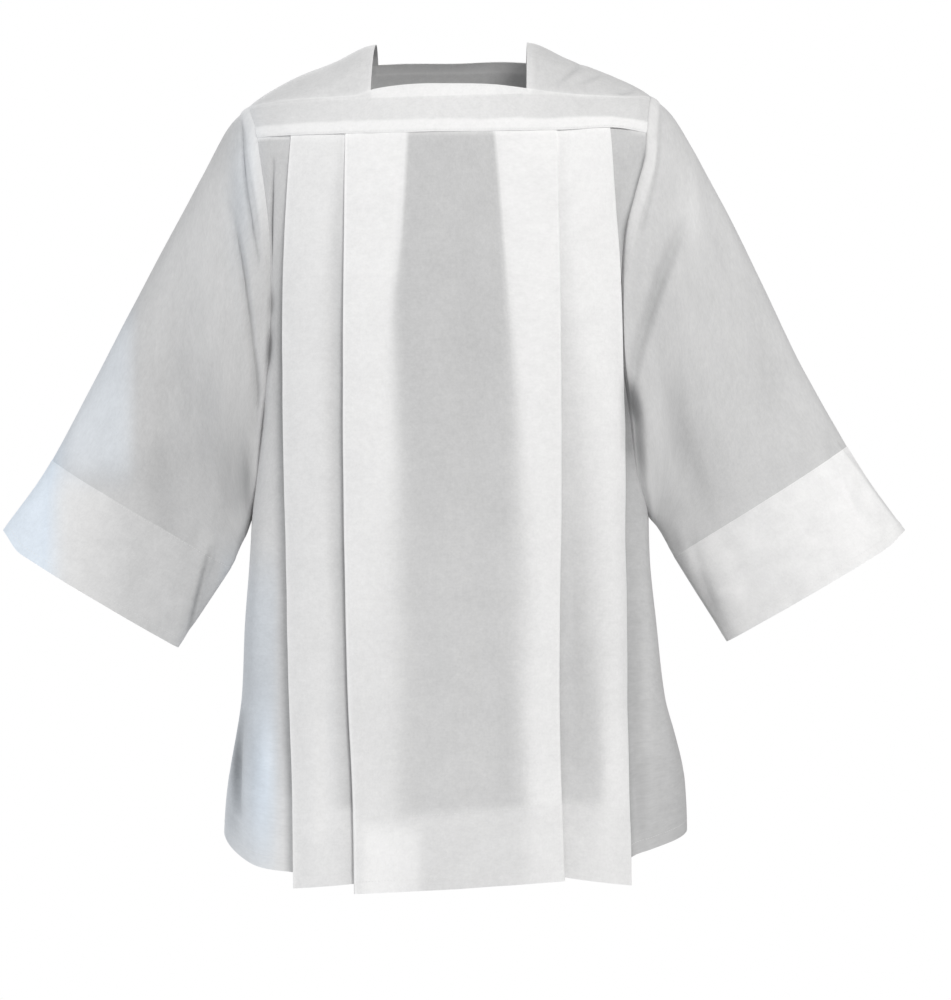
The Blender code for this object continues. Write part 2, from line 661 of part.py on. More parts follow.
def half_row(side, face, height, edge_turn, behind, edge_depth, level):
    """One side of a panel's row: plan points, and each one's hem height."""
    hem = (FRONT_HEM if face == FRONT else BACK_HEM)[side]
    places = pleat_stations(side, face, height)
    opened = HEM_OPENING * ease((-0.15 - height) / 0.75)
    layers = pleat_layers(opened)
    points, hems = [], []

    def add(turn, depth, fall):
        reach = level(turn)
        base = shell_point(turn, reach, side, face)
        inward = shell_normal(turn, reach, side, face)
        points.append(np.array([*(base + inward * depth), reach]))
        hems.append(fall)

    outer_turn = turn_at(places["outer"], height, side)
    outer_depth = layers[0][1] + behind
    for step in range(SIDE_COLUMNS):
        part = step / SIDE_COLUMNS
        turn = edge_turn + (outer_turn - edge_turn) * part
        depth = edge_depth + (outer_depth - edge_depth) * ease(part * 1.15)
        drop = CORNER_SHARE * ease((part - 0.25) * 2) + (1 - CORNER_SHARE) * part
        add(turn, depth, hem["side"] + (hem["under"] - hem["side"]) * drop)
    for place, depth, (at_outer, at_tuck) in layers:
        part = ACROSS_PLEAT.get(place, 1.0)
        fall = hem[at_outer] + (hem[at_tuck] - hem[at_outer]) * part
        add(turn_at(places[place], height, side), depth + behind, fall)
    return points, hems


def panel_levels(face):
    """Rows of a panel: height, step of the armhole seam and depth behind the yoke."""
    rows = [(None, None, LAP_DEPTH)]
    first = STRAP_STEPS + YOKE_STEPS + 1
    for step, height in enumerate(ARMHOLE_LEVELS):
        behind = LAP_DEPTH * (1 - ease((-0.100 - height) / 0.09))
        rows.append((height, first + step, behind))
    rows += [(height, None, 0.0) for height in HEM_ROWS]
    return rows


def panel_row(face, height, step, behind):
    """A whole row from the left edge to the right edge."""
    halves = {}
    for side in (LEFT, RIGHT):
        if height is None:
            def level(turn, side=side):
                out = half_width(CHEST_HEIGHT, side) * math.sin(turn * math.pi / 2) ** (2 / 2.4)
                return yoke_bottom(side * out, face) + YOKE_LAP
            nominal = yoke_bottom(side * 0.2, face) + YOKE_LAP
            reach = read(ARMHOLE, SIDE_NAME[side], nominal) - TOP_EDGE_REACH
            turn, edge_depth = turn_at(reach, nominal, side), TOP_EDGE_DEPTH
        else:
            def level(turn, height=height):
                return height
            nominal, edge_depth = height, 0.0
            reach = read(ARMHOLE, SIDE_NAME[side], height)
            low = step is None or step == EDGE_STEPS
            turn = 1.0 if low else turn_at(reach, height, side)
        halves[side] = half_row(side, face, nominal, turn, behind, edge_depth, level)
    centre_points, centre_hems = [], []
    left_end, right_end = halves[LEFT][0][-1], halves[RIGHT][0][-1]
    for part in (0.25, 0.5, 0.75):
        across = left_end[0] + (right_end[0] - left_end[0]) * part
        side = LEFT if across < 0 else RIGHT
        if height is None:
            reach = yoke_bottom(across, face) + YOKE_LAP
        else:
            reach = height
        turn = turn_at(across, reach, side)
        base = shell_point(turn, reach, side, face)
        inward = shell_normal(turn, reach, side, face)
        centre_points.append(np.array([*(base + inward * behind), reach]))
        hem = FRONT_HEM if face == FRONT else BACK_HEM
        between = hem[LEFT]["inner"] + (hem[RIGHT]["inner"] - hem[LEFT]["inner"]) * part
        centre_hems.append(between * 0.4 + MIDDLE_HEM[face] * 0.6)
    points = halves[LEFT][0] + centre_points + halves[RIGHT][0][::-1]
    hems = halves[LEFT][1] + centre_hems + halves[RIGHT][1][::-1]
    return np.array(points), np.array(hems)


def mitred(row, distance):
    """Move a level row sideways by a distance, with mitred corners."""
    plan = row[:, :2]
    along = unit(np.diff(plan, axis=0))
    left = np.stack([-along[:, 1], along[:, 0]], axis=1)
    before = np.concatenate([left[:1], left])
    after = np.concatenate([left, left[-1:]])
    both = before + after
    scale = np.sum(both * both, axis=1, keepdims=True) / 2
    shift = both / np.maximum(scale, 0.35)
    moved = row.copy()
    moved[:, :2] += shift * distance
    return moved


def make_panel(face):
    outer, inner = [], []
    for height, step, behind in panel_levels(face):
        row, hems = panel_row(face, height, step, behind)
        if height is not None and height < HEM_START:
            part = (HEM_START - height) / (HEM_START - HEM_ROWS[-1])
            row[:, 2] = HEM_START + (hems - HEM_START) * part
        cloth = HEM_CLOTH if height is not None and height < HEM_TOP else CLOTH
        near, far = mitred(row, cloth / 2 * face), mitred(row, -cloth / 2 * face)
        for side, end, next_in in ((LEFT, 0, 1), (RIGHT, -1, -2)):
            if height is not None:
                at_seam = step is not None
                away = SEAMS[side].body[face][step] if at_seam else np.array([side, 0.0, 0.0])
                near[end] = row[end] + away * cloth / 2
                far[end] = row[end] - away * cloth / 2
            toward = unit(row[next_in] - row[end]) * SEAM_GAP / 2
            near[end] += toward
            far[end] += toward
        outer.append(near)
        inner.append(far)
    name = FACE_NAME[face] + "_panel"
    solid(name, np.array(outer), np.array(inner), False, white_cloth(name + "_cloth", 0.82))


for body_side in (LEFT, RIGHT):
    make_sleeve(body_side)
    make_strap(body_side)
for body_face in (FRONT, BACK):
    make_yoke(body_face)
    make_panel(body_face)
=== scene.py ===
import math

import bpy
import numpy as np
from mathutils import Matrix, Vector


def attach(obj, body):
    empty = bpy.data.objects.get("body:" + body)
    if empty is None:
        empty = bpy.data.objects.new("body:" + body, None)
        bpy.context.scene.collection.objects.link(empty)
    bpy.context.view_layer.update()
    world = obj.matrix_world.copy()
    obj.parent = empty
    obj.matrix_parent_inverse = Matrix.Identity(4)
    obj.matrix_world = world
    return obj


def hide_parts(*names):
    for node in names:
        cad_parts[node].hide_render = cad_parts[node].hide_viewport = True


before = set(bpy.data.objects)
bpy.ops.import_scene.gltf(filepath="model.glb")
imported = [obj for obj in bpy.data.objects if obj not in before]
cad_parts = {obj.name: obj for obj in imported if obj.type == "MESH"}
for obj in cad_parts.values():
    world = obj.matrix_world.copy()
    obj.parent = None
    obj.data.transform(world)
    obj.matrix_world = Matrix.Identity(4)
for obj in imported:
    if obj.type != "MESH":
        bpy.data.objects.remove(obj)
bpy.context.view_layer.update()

# ------------------------------------------------------------------ the panels
# Front and back are each one width of white broadcloth from side seam to side
# seam, pressed into two knife pleats on each side of a plain middle, seamed at
# the sides below the armholes and turned up inside in a deep hem.
FRONT, BACK = -1, 1
LEFT, RIGHT = -1, 1
SIDE_NAME = {LEFT: "left", RIGHT: "right"}
FACE_NAME = {FRONT: "front", BACK: "back"}
CLOTH = 0.0005            # one layer of broadcloth, with its nap
CHEST_HEIGHT = -0.140     # above it the cloth rounds over the shoulders
UNDERARM = -0.517
SEAM_CLEARANCE = 0.00012  # between two pieces where they are sewn
ALLOWANCE = 0.007         # cloth turned in at a seam
PANEL_TOP = -0.0970       # the pleats' tops, caught behind the yoke
BEHIND_YOKE = 0.0009      # how far they lie behind its middle


def table(columns, text, last="0"):
    """Named columns from rows of thousandths, so lengths are in millimetres. A row
    that is one number short ends with the last one given here."""
    names = columns.split()
    rows = [(line.split() + [last])[:len(names)] for line in text.strip().splitlines()]
    return dict(zip(names, np.array([[float(word + "e-3") for word in row] for row in rows]).T))


def folds(text):
    """Soft folds, each a curve through three places seen from the front: how far it
    stands out, or in where negative, its width, and how much steeper one flank is."""
    return table("x0 z0 x1 z1 x2 z2 rise width skew", text)


def patches(text):
    """Patches where the cloth's tone changes: a power of 2 is a soft one, and a
    higher one has firmer edges."""
    return table("x z wide high change power", text, last="2000")


def read(source, column, at):
    """Read a column smoothly at values of the table's first column."""
    names = list(source)
    stations, values = source[names[0]], source[column]
    if stations[0] > stations[-1]:
        stations, values = stations[::-1], values[::-1]
    slopes = np.gradient(values, stations)
    at = np.clip(np.asarray(at, dtype=float), stations[0], stations[-1])
    row = np.clip(np.searchsorted(stations, at, side="right") - 1, 0, len(stations) - 2)
    span = stations[row + 1] - stations[row]
    part = (at - stations[row]) / span
    ends = (1 + 2 * part) * (1 - part) ** 2 * values[row] + part ** 2 * (3 - 2 * part) * values[row + 1]
    turns = part * (1 - part) ** 2 * slopes[row] + part ** 2 * (part - 1) * slopes[row + 1]
    return ends + turns * span


def ease(part):
    """Go from 0 to 1 with soft ends."""
    part = np.clip(part, 0.0, 1.0)
    return part * part * (3 - 2 * part)


def soft_step(distance, softness):
    """0 well below nothing, 1 well above it."""
    return 0.5 + 0.5 * np.tanh(distance / softness)


def bell(distance, width, power=2):
    """1 at nothing, falling to 0 beyond a width on both sides."""
    return np.exp(-np.abs(distance / width) ** power)


def blend(first, last, share):
    return first + (last - first) * share


def steps(points, axis=0):
    """The lengths of the steps from each point to the next."""
    return np.linalg.norm(np.diff(points, axis=axis), axis=-1)


def running(points):
    """How far along a line each of its points lies."""
    return np.concatenate([[0], np.cumsum(steps(points))])


def woven(across, down):
    """Places in the weave, in metres."""
    return np.stack(np.broadcast_arrays(across, down, 0.0), axis=-1)


def unit(vectors):
    return vectors / np.maximum(np.linalg.norm(vectors, axis=-1, keepdims=True), 1e-12)


BODY = table("height left right front back squareness", """
    -140 235 233 116 112 2400
    -250 222.5 220 124 122 2400
    -400 219.2 216.5 127 125 2400
    -517 219 215.8 129 127 2400
    -565 221.5 217.2 131 129 2400
    -632 226.5 224 135 133 2420
    -720 230.5 234.5 142 139 2450
    -770 236.5 245 147 143 2470
    -815 242.5 253 153 147 2500
    -865 247 256.5 159 152 2500
    -912 249 257.5 164 157 2500
    """)
RIDGE = table("out left right", """
    0 1 3
    70 0.8 3.4
    90 -1 1
    125 -18 -15
    178 -39.6 -35
    211 -59 -51
    245 -86 -80
    """)
ARMHOLE = table("height left right", """
    -50 222 219
    -70 221.5 215
    -100 212 211
    -128 207 209
    -165 201 199
    -205 196.5 189.2
    -250 195 185.8
    -300 195.5 185.4
    -350 198 187.4
    -400 202.5 195
    -445 207.8 199.2
    -480 212 204.2
    -500 215.8 210.5
    -517 219 215.8
    """)
FRONT_PLEATS = table("height left_outer left_inner left_return right_return right_inner right_outer", """
    -95 -171 -112.3 -45 44 112.2 170.2
    -160 -174.9 -112.6 -48 50 113 175
    -227 -178.7 -113 -52.5 55.5 114.3 179.8
    -292 -181 -113.6 -60 61 115 182.8
    -372 -180.8 -113.9 -59 67 115.6 184.8
    -502 -178.3 -112.8 -54.5 74 116.3 188
    -588 -176 -110.6 -56 76.8 114.8 188.8
    -695 -172.8 -107.5 -57.5 75.5 113.2 188.9
    -814 -167.4 -101.2 -56 79 115 189.4
    -906 -165.6 -98.9 -55 80 117.4 190.5
    """)
BACK_PLEATS = table("height left_outer left_inner left_return right_return right_inner right_outer", """
    -95 -169 -112 -45 45 112 169
    -300 -179 -113 -58 58 113 179
    -600 -179 -111 -60 60 111 179
    -906 -177 -107 -62 62 107 179
    """)
PLEATS = {FRONT: FRONT_PLEATS, BACK: BACK_PLEATS}
# The band across the chest: its upper edge, and its foot over the pleats.
YOKE_FRONT = table("across top bottom", """
    -230 -71.2 -108.4
    -190 -68 -108.5
    -125 -67.2 -109.2
    -100 -66.2 -109.2
    -84 -61.2 -109.2
    -50 -56 -108.8
    0 -54.7 -108
    50 -56.2 -107.2
    83 -60.2 -106.3
    125 -64 -104.5
    169 -64 -100
    230 -60 -104
    """)
HEM_START = -0.720        # below it the rows follow the hem
HEM_BAND = 0.080          # depth of the turned-up hem
PANEL_HEMS = {
    (FRONT, LEFT): dict(side=-0.861, under=-0.893, outer=-0.9086, beside=-0.9014, inner=-0.9115, corner=3.0),
    (FRONT, RIGHT): dict(side=-0.859, under=-0.881, outer=-0.9066, beside=-0.895, inner=-0.8985, corner=1.0),
    (BACK, LEFT): dict(side=-0.861, under=-0.893, outer=-0.903, beside=-0.901, inner=-0.906, corner=2.4),
    (BACK, RIGHT): dict(side=-0.859, under=-0.881, outer=-0.902, beside=-0.899, inner=-0.903, corner=1.2),
}
MIDDLE_HEM = -0.9060
HEM_ROW = -0.905          # the level at which the hem's outline is read
PINCH = 0.0013            # distance between two layers at a pressed fold
PINCH_REACH = 0.014       # and how far from the fold they have parted
LAYER = table("height apart opened lift", """
    -95 0.8 0 0
    -120 0.9 0 0
    -180 1.6 0.8 0.2
    -300 2 2.2 0.8
    -600 2.4 4.4 1.6
    -906 2.8 6.4 2.2
    """)

PANEL_FOLDS = {
    FRONT: folds("""
    -229 -738 -235 -793 -232 -855 -9 6
    172 -116 185 -135 199 -160 1.8 3.4
    176 -145 179 -185 182 -230 -1.8 4
    -206 -735 -205 -820 -208 -915 6 13
    -206 -520 -209 -620 -213 -740 2.6 11
    199 -440 201 -600 203 -830 -6.2 11 200
    227 -560 232 -680 244 -820 3.4 12
    208 -800 207 -850 208 -900 -5 7 300
    228 -735 226 -755 222 -775 -1.6 6
    126 -400 130 -620 133 -850 -5.2 14
    165 -300 169 -540 172 -860 4.2 15
    -125 -200 -124 -430 -122 -700 -3 9
    -150 -690 -144 -790 -142 -880 1.6 13
    -135 -640 -132 -760 -129 -880 -2.6 9
    -20 -180 -19 -330 -12 -480 2 24
    28 -330 31 -540 30 -760 -2.6 24
    -30 -500 -28 -680 -33 -860 -2 20
    2 -600 3 -760 0 -890 2.2 22
    -80 -330 -83 -560 -80 -800 1.8 18
    95 -300 99 -480 98 -700 1.6 16
    -90 -560 -86 -700 -90 -850 -1.4 12
    """),
    BACK: folds("""
    -232 -720 -231 -810 -235 -890 -10 8.5 300
    -206 -700 -204 -790 -207 -890 4.5 14
    -192 -200 -191 -300 -192 -400 -2.4 6
    -205 -540 -208 -660 -211 -780 -3 11
    201 -430 204 -600 206 -790 -5.6 12 200
    229 -600 234 -710 242 -830 3.4 14
    128 -500 131 -680 134 -860 -3 12
    -128 -300 -127 -540 -130 -790 -2.6 11
    18 -220 19 -390 13 -560 2.2 25
    -26 -330 -29 -560 -27 -800 -2.6 24
    33 -520 31 -700 36 -870 -2 22
    -2 -610 0 -750 1 -880 2 23
    -88 -300 -85 -470 -90 -640 1.6 18
    86 -460 88 -640 85 -820 1.6 18
    """),
}
# Sharp creases, with painted shade in them, where no light reaches from behind.
PANEL_CREASES = {
    FRONT: folds("""
    -191.5 -135 -194 -210 -196.2 -280 -4 1.6
    -229 -735 -236 -793 -233 -855 -3.4 5.8
    """),
    BACK: folds("""
    -188.5 -180 -190 -240 -193.5 -300 -2.6 1.6
    """),
}
CREASE_SHADE = 150.0      # painted shade: whiteness lost for each metre of a crease's depth
# Patches of painted shade in hollows and painted light on ridges, and where more light, or less, comes
# through the cloth.
PANEL_PATCHES = {
    FRONT: patches("""
    -195 -776 7.5 40 420
    -233.5 -797 6.6 40 -800
    -233 -840 12 22 -300
    189 -408 8 41 -300 8000
    -62 -880 31 40 300 8000
    212 -700 7 120 140
    30 -340 28 60 -50
    -5 -560 20 90 60
    -55 -700 10 70 80
    -140 -810 13 60 120
    193.5 -700 9 140 -160
    230 -700 12 80 100
    56 -760 10 70 -100
    """),
    BACK: patches("""
    -198.5 -790 9 60 300
    193.5 -700 9 140 -100
    """),
}
FOLD_STRETCHES = 14       # straight stretches that a fold's curve is read in


def fold_rise(points, chosen):
    """How far a list of soft folds takes the cloth out at each point."""
    total = np.zeros(points.shape[:-1])
    flat = points[..., [0, 2]]
    along = np.linspace(0, 1, FOLD_STRETCHES + 1)[:, None]
    for x0, z0, x1, z1, x2, z2, rise, width, skew in zip(*chosen.values()):
        start, middle, end = np.array([x0, z0]), np.array([x1, z1]), np.array([x2, z2])
        bend = 2 * middle - (start + end) / 2
        curve = (1 - along) ** 2 * start + 2 * along * (1 - along) * bend + along ** 2 * end
        nearest, across, place = np.full(total.shape, np.inf), total * 0, total * 0
        for stretch, run in enumerate(np.diff(curve, axis=0)):
            away = flat - curve[stretch]
            share = np.clip(away @ run / (run @ run), 0.0, 1.0)
            gap = away - share[..., None] * run
            distance = np.hypot(gap[..., 0], gap[..., 1])
            closer = distance < nearest
            nearest = np.where(closer, distance, nearest)
            signed = (gap[..., 0] * run[1] - gap[..., 1] * run[0]) / np.linalg.norm(run)
            across = np.where(closer, signed, across)
            place = np.where(closer, (stretch + share) / FOLD_STRETCHES, place)
        reach = width * (1 + skew * np.tanh(across / width))
        total += rise * np.sin(math.pi * (0.10 + 0.80 * place)) ** 0.8 * bell(nearest, reach)
    return total


def patch_tone(points, chosen):
    """How much whiter a list of patches makes each point."""
    return sum(change * bell(points[..., 0] - x, wide, power) * bell(points[..., 2] - z, high, power)
               for x, z, wide, high, change, power in zip(*chosen.values()))


def drift(u, v, size, seed):
    """Slow uneven wander between -1 and 1, for cloth that is never quite flat."""
    lattice = np.random.default_rng(seed).uniform(-1, 1, (64, 64))
    u, v = u / size, v / size
    left, low = np.floor(u).astype(int), np.floor(v).astype(int)
    near, far = (blend(lattice[at % 64, low % 64], lattice[at % 64, (low + 1) % 64], ease(v - low))
                 for at in (left, left + 1))
    return blend(near, far, ease(u - left))


def half_width(height, side):
    return read(BODY, SIDE_NAME[side], height)


def turn_at(out, height, side):
    """The share of the way round the body, 0 in the middle and 1 at the side."""
    ratio = np.clip(np.abs(out) / half_width(height, side), 0.0, 1.0)
    return 2 / math.pi * np.arcsin(ratio ** (read(BODY, "squareness", height) / 2))


def shell_point(turn, height, side, face):
    """Points of the body's cloth at some levels, in front or behind."""
    turn, height = np.broadcast_arrays(np.clip(turn, 0.0, 1.0), height)
    power = read(BODY, "squareness", height)
    out = half_width(height, side) * np.sin(turn * math.pi / 2) ** (2 / power)
    depth = read(BODY, FACE_NAME[face], height) * np.cos(turn * math.pi / 2).clip(0) ** (2 / power)
    top = read(RIDGE, SIDE_NAME[side], out)
    rise = np.clip((height - CHEST_HEIGHT) / (top - CHEST_HEIGHT), 0.0, 1.0)
    return np.stack([side * out, face * depth * np.sqrt(1 - rise ** 2), height], axis=-1)


def shell_outward(turn, height, side, face):
    """The directions that point out of the body's cloth."""
    step, lift = 0.004, 0.003
    along = shell_point(turn + step, height, side, face) - shell_point(turn - step, height, side, face)
    up = shell_point(turn, height + lift, side, face) - shell_point(turn, height - lift, side, face)
    return unit(np.cross(up + [0.0, 0.0, lift], along) * side * face)


def grid_normals(grid, ring=False):
    """Normals of a grid of points; ring closes its rows on themselves."""
    along = np.roll(grid, -1, axis=1) - np.roll(grid, 1, axis=1) if ring else np.gradient(grid, axis=1)
    return unit(np.cross(np.gradient(grid, axis=0), along))


def add_object(name, points, faces):
    mesh = bpy.data.meshes.new(name)
    mesh.from_pydata(points.tolist(), [], faces)
    mesh.shade_smooth()
    made = bpy.data.objects.new(name, mesh)
    bpy.context.scene.collection.objects.link(made)
    return made


# Painted light: the open sky lights the garment's left side, and the cloth there is painted cooler.
PAINTED_SKY_LIGHT = patches("""
    -485 -530 54 120 1400 5000
    -395 -370 50 110 500 8000
    -220 -730 34 165 550 8000
    -200 -800 16 75 500
    -225 -160 16 80 400
    """)


def cloth_object(name, grid, thickness, weave, white, ring=False):
    """A closed thin shell on a grid of points. Each point keeps its place in the
    weave, in metres, and how white it looks, from one layer of cloth to several,
    with painted light and shade in that whiteness, and a painted cool tint of sky light."""
    shape = grid.shape[:2]
    offset = grid_normals(grid, ring) * np.broadcast_to(thickness, shape)[..., None] / 2
    points = np.concatenate([(grid + offset).reshape(-1, 3), (grid - offset).reshape(-1, 3)])
    front = np.arange(shape[0] * shape[1]).reshape(shape)
    if ring:
        front = np.concatenate([front, front[:, :1]], axis=1)
    back = front + shape[0] * shape[1]
    quads = [
        (front[:-1, :-1], front[1:, :-1], front[1:, 1:], front[:-1, 1:]),
        (back[:-1, :-1], back[:-1, 1:], back[1:, 1:], back[1:, :-1]),
        (front[0, :-1], front[0, 1:], back[0, 1:], back[0, :-1]),
        (front[-1, :-1], back[-1, :-1], back[-1, 1:], front[-1, 1:])]
    if not ring:
        quads += [
            (front[:-1, 0], back[:-1, 0], back[1:, 0], front[1:, 0]),
            (front[:-1, -1], front[1:, -1], back[1:, -1], back[:-1, -1])]
    faces = np.concatenate([np.stack(quad, axis=-1).reshape(-1, 4) for quad in quads])
    made = add_object(name, points, faces.tolist())
    made.data.set_sharp_from_angle(angle=math.radians(55))
    # Painted cool light from the sky, only on the cloth that faces forward.
    cool = patch_tone(grid, PAINTED_SKY_LIGHT) * soft_step(0.008 - grid[..., 1], 0.010)
    layers = {"weave": ("FLOAT_VECTOR", "vector", np.broadcast_to(weave, grid.shape)),
              "white": ("FLOAT", "value", np.broadcast_to(white, shape)), "cool": ("FLOAT", "value", cool)}
    for key, (kind, _, _) in layers.items():
        made.data.attributes.new(key, kind, "POINT")
    for key, (_, field, values) in layers.items():
        both = np.tile(values.ravel(), 2).astype(np.float32)
        made.data.attributes[key].data.foreach_set(field, both)
    return made


# Where the cloth bunches along the armhole, the seam lies this much deeper.
SEAM_DIPS = {
    (LEFT, FRONT): [(-0.338, 0.0090, 0.022), (-0.290, 0.0050, 0.014), (-0.420, 0.0050, 0.040)],
    (RIGHT, FRONT): [(-0.398, 0.0150, 0.022), (-0.450, 0.0130, 0.036)],
    (LEFT, BACK): [(-0.330, 0.0080, 0.016), (-0.260, 0.0030, 0.010)],
    (RIGHT, BACK): [(-0.360, 0.0100, 0.020), (-0.430, 0.0080, 0.030)],
}
DIP_REACH = {LEFT: 0.0034, RIGHT: 0.0092}
DIP_SHADE = {LEFT: 55.0, RIGHT: 22.0}   # painted shade: whiteness lost for each metre of their depth


def seam_dip(height, from_seam, side, face):
    """How far back, or forward behind, the cloth goes beside the armhole seam."""
    total = sum(depth * bell(height - middle, reach) for middle, depth, reach in SEAM_DIPS[side, face])
    return total * bell(from_seam, DIP_REACH[side])


def seam_shade(height, from_seam, reach, side, face):
    """How much painted shade lies along the top of the armhole seam, where the sleeve pulls on it."""
    span = ease((-0.114 - height) / 0.02) * ease((height + 0.250) / 0.05)
    return span * bell(from_seam, reach) * ((side, face) == (RIGHT, FRONT))


PATH_STEPS = dict(side=26, side_under=9, outer_under=11, pleat=20, pleat_under=9,
                  cover_under=9, cover=12, middle=14)
FOLD_STEPS = 5
COVER_CURL = 0.022        # how near its fold a pleat's cover lifts
PLEAT_TOP = 0.0004        # how far the outer pleat lies under the body's form


def parted(distance, full):
    """How far apart two layers are, at a distance from the fold that joins them."""
    return blend(np.minimum(PINCH, full), full, ease(distance / PINCH_REACH))


def pleat_places(side, face, height):
    """How far out the outer and inner pleats are pressed, and where the cloth under
    the inner one turns back, at some heights."""
    name = SIDE_NAME[side]
    return [np.abs(read(PLEATS[face], name + part, height))[:, None]
            for part in ("_outer", "_inner", "_return")]


def half_path(side, face, height):
    """The way the cloth runs from the side edge to the middle, for rows at some
    heights: how far out each point lies, its depth, and which stretch it is in."""
    outer, inner, turn_back = pleat_places(side, face, height)
    tuck = inner + 0.005
    apart, opened, lift = (read(LAYER, column, height)[:, None] for column in ("apart", "opened", "lift"))
    half = half_width(height, side)[:, None]
    edge = np.where(height[:, None] > UNDERARM, read(ARMHOLE, SIDE_NAME[side], height)[:, None], half)
    spread = apart + opened * 0.5

    def cover_under_depth(out):
        return parted(np.abs(inner - out), spread)

    def pleat_depth(out):
        hidden = cover_under_depth(out) + parted(np.abs(out - turn_back), spread)
        at_inner = cover_under_depth(inner) + parted(inner - turn_back, spread)
        share = np.clip((outer - out) / (outer - inner), 0.0, 1.0)
        shown = blend(PLEAT_TOP, at_inner, 0.35 * share ** 1.6 + 0.65 * share ** 7)
        return np.where(out < inner, hidden, shown)

    def outer_under_depth(out):
        return pleat_depth(np.maximum(out, inner)) + parted(np.abs(outer - out), spread)

    def cover_depth(out):
        return -lift * bell(inner - out, COVER_CURL)

    def side_depth(out):
        under = outer_under_depth(out) + parted(np.abs(out - tuck), apart + 0.7 * opened)
        past = np.clip((out - outer) / np.maximum(edge - outer, 0.02), 0.0, 1.0)
        return under * (1 - ease(past * 1.1))

    def round_side():
        first, last = (turn_at(at, height[:, None], side) for at in (edge, outer))
        turn = blend(first, last, np.linspace(0, 1, PATH_STEPS["side"], endpoint=False))
        power = read(BODY, "squareness", height)[:, None]
        out = half * np.sin(turn * math.pi / 2) ** (2 / power)
        out[:, 0] = edge[:, 0]
        return out, side_depth(out), 0

    def run(start, stop, name, depth, stretch):
        count = PATH_STEPS[name]
        out = blend(start, stop, np.linspace(0, 1, count, endpoint=False) + 0.5 / count)
        return out, depth(out), stretch

    def fold(at, before, after, outward, stretch):
        angle = np.linspace(0, math.pi, FOLD_STEPS)
        first, last = before(at), after(at)
        out = at + outward * np.abs(last - first) / 2 * np.sin(angle)
        return out, (first + last) / 2 + (first - last) / 2 * np.cos(angle), stretch

    parts = [
        round_side(),
        run(outer, tuck, "side_under", side_depth, 1),
        fold(tuck, side_depth, outer_under_depth, -1, 1),
        run(tuck, outer, "outer_under", outer_under_depth, 1),
        fold(outer, outer_under_depth, pleat_depth, 1, 2),
        run(outer, inner, "pleat", pleat_depth, 2),
        run(inner, turn_back, "pleat_under", pleat_depth, 3),
        fold(turn_back, pleat_depth, cover_under_depth, -1, 3),
        run(turn_back, inner, "cover_under", cover_under_depth, 3),
        fold(inner, cover_under_depth, cover_depth, 1, 4),
        run(inner, turn_back, "cover", cover_depth, 4),
        run(turn_back, turn_back * 0, "middle", cover_depth, 5)]
    return [np.concatenate([np.broadcast_to(part[kind], part[0].shape) for part in parts], axis=1)
            for kind in range(3)]


def hem_fall(side, face, out, stretch, edge, outer, inner):
    """How low the hem hangs at each point of its row."""
    hem = PANEL_HEMS[face, side]
    part = np.clip((edge - out) / np.maximum(edge - outer, 0.01), 0.0, 1.0)
    at_side = blend(hem["side"], hem["under"], 1 - (1 - part) ** hem["corner"])
    share = np.clip((outer - out) / (outer - inner), 0.0, 1.0)
    under = blend(hem["under"], hem["beside"], share)
    pleat = blend(hem["outer"], hem["beside"], share)
    cover = blend(hem["inner"], MIDDLE_HEM, 1 - np.clip(out / inner, 0.0, 1.0))
    beneath = np.where(share > 0, (under + pleat) / 2, pleat)
    return np.select([stretch == 0, stretch == 1, stretch == 2, stretch == 3],
                     [at_side, beneath, pleat, cover - 0.0005], cover)


# How white the cloth looks, from one layer to several behind each other: the
# covering layer and how soft its hidden edge shows, the plain middle, the pleat
# by its inner and outer fold and where between them it changes, and the sides.
# The pleat's darker tone by its inner fold is partly painted shade from that fold,
# and the sides are partly painted light and shade, the front's left lighter than its right.
LEFT_TONES = table("height cover edge middle near far between spread side", """
    -100 980 1.5 130 620 880 4 1.5 260
    -180 980 1.8 130 580 860 12 4 240
    -270 970 4 150 530 840 20 6.5 240
    -400 950 8 180 500 820 21 7 300
    -500 930 11 220 480 800 19 7 420
    -600 880 16 260 420 780 16 5 440
    -720 760 13 300 420 760 18 6 420
    -800 780 13 340 450 760 18 6 500
    -835 840 12 340 480 780 17 6 660
    -906 880 12 340 500 800 16 6 740
    """)
RIGHT_TONES = table("height cover edge middle near far between spread side", """
    -100 980 1.8 130 920 1000 6 5 180
    -180 980 2 130 860 1000 10 7 160
    -300 980 4 160 720 1000 16 10 120
    -400 980 8 180 600 990 26 14 60
    -500 980 12 220 480 980 34 16 60
    -600 980 15 260 320 920 40 16 50
    -720 940 8.5 300 240 920 46 8 50
    -800 960 7 340 340 980 45 6 40
    -906 1000 8 340 740 1040 34 12 60
    """)
TONES = {(FRONT, LEFT): LEFT_TONES, (FRONT, RIGHT): RIGHT_TONES,
         (BACK, LEFT): LEFT_TONES, (BACK, RIGHT): LEFT_TONES}
HEM_WHITE = 0.86
FOLD_HIGHLIGHT = {LEFT: 0.34, RIGHT: 0.06}   # painted highlight: a pressed fold's edge catches the light
FOLD_SHADE = 0.80         # painted shade: the cloth just under it gets less light
UNDER_SHADE = {LEFT: 1.0, RIGHT: 0.20}   # this share of that painted shade under the inner pleat
SIDE_HEM = {LEFT: 0.14, RIGHT: 0.04}     # how far the hem's band shows at the sides
FRONT_HEM = 0.60          # and between the outer pleats
BRIGHTEST = 1.12
YOKE_BACK_BOTTOM = -0.106
GAP_LIGHT = 0.95          # painted light: the narrow gap beside the armhole is lit from both sides
FOLD_REACH = {LEFT: 0.0105, RIGHT: 0.0065}   # that painted shade reaches as far as this beside the outer pleat
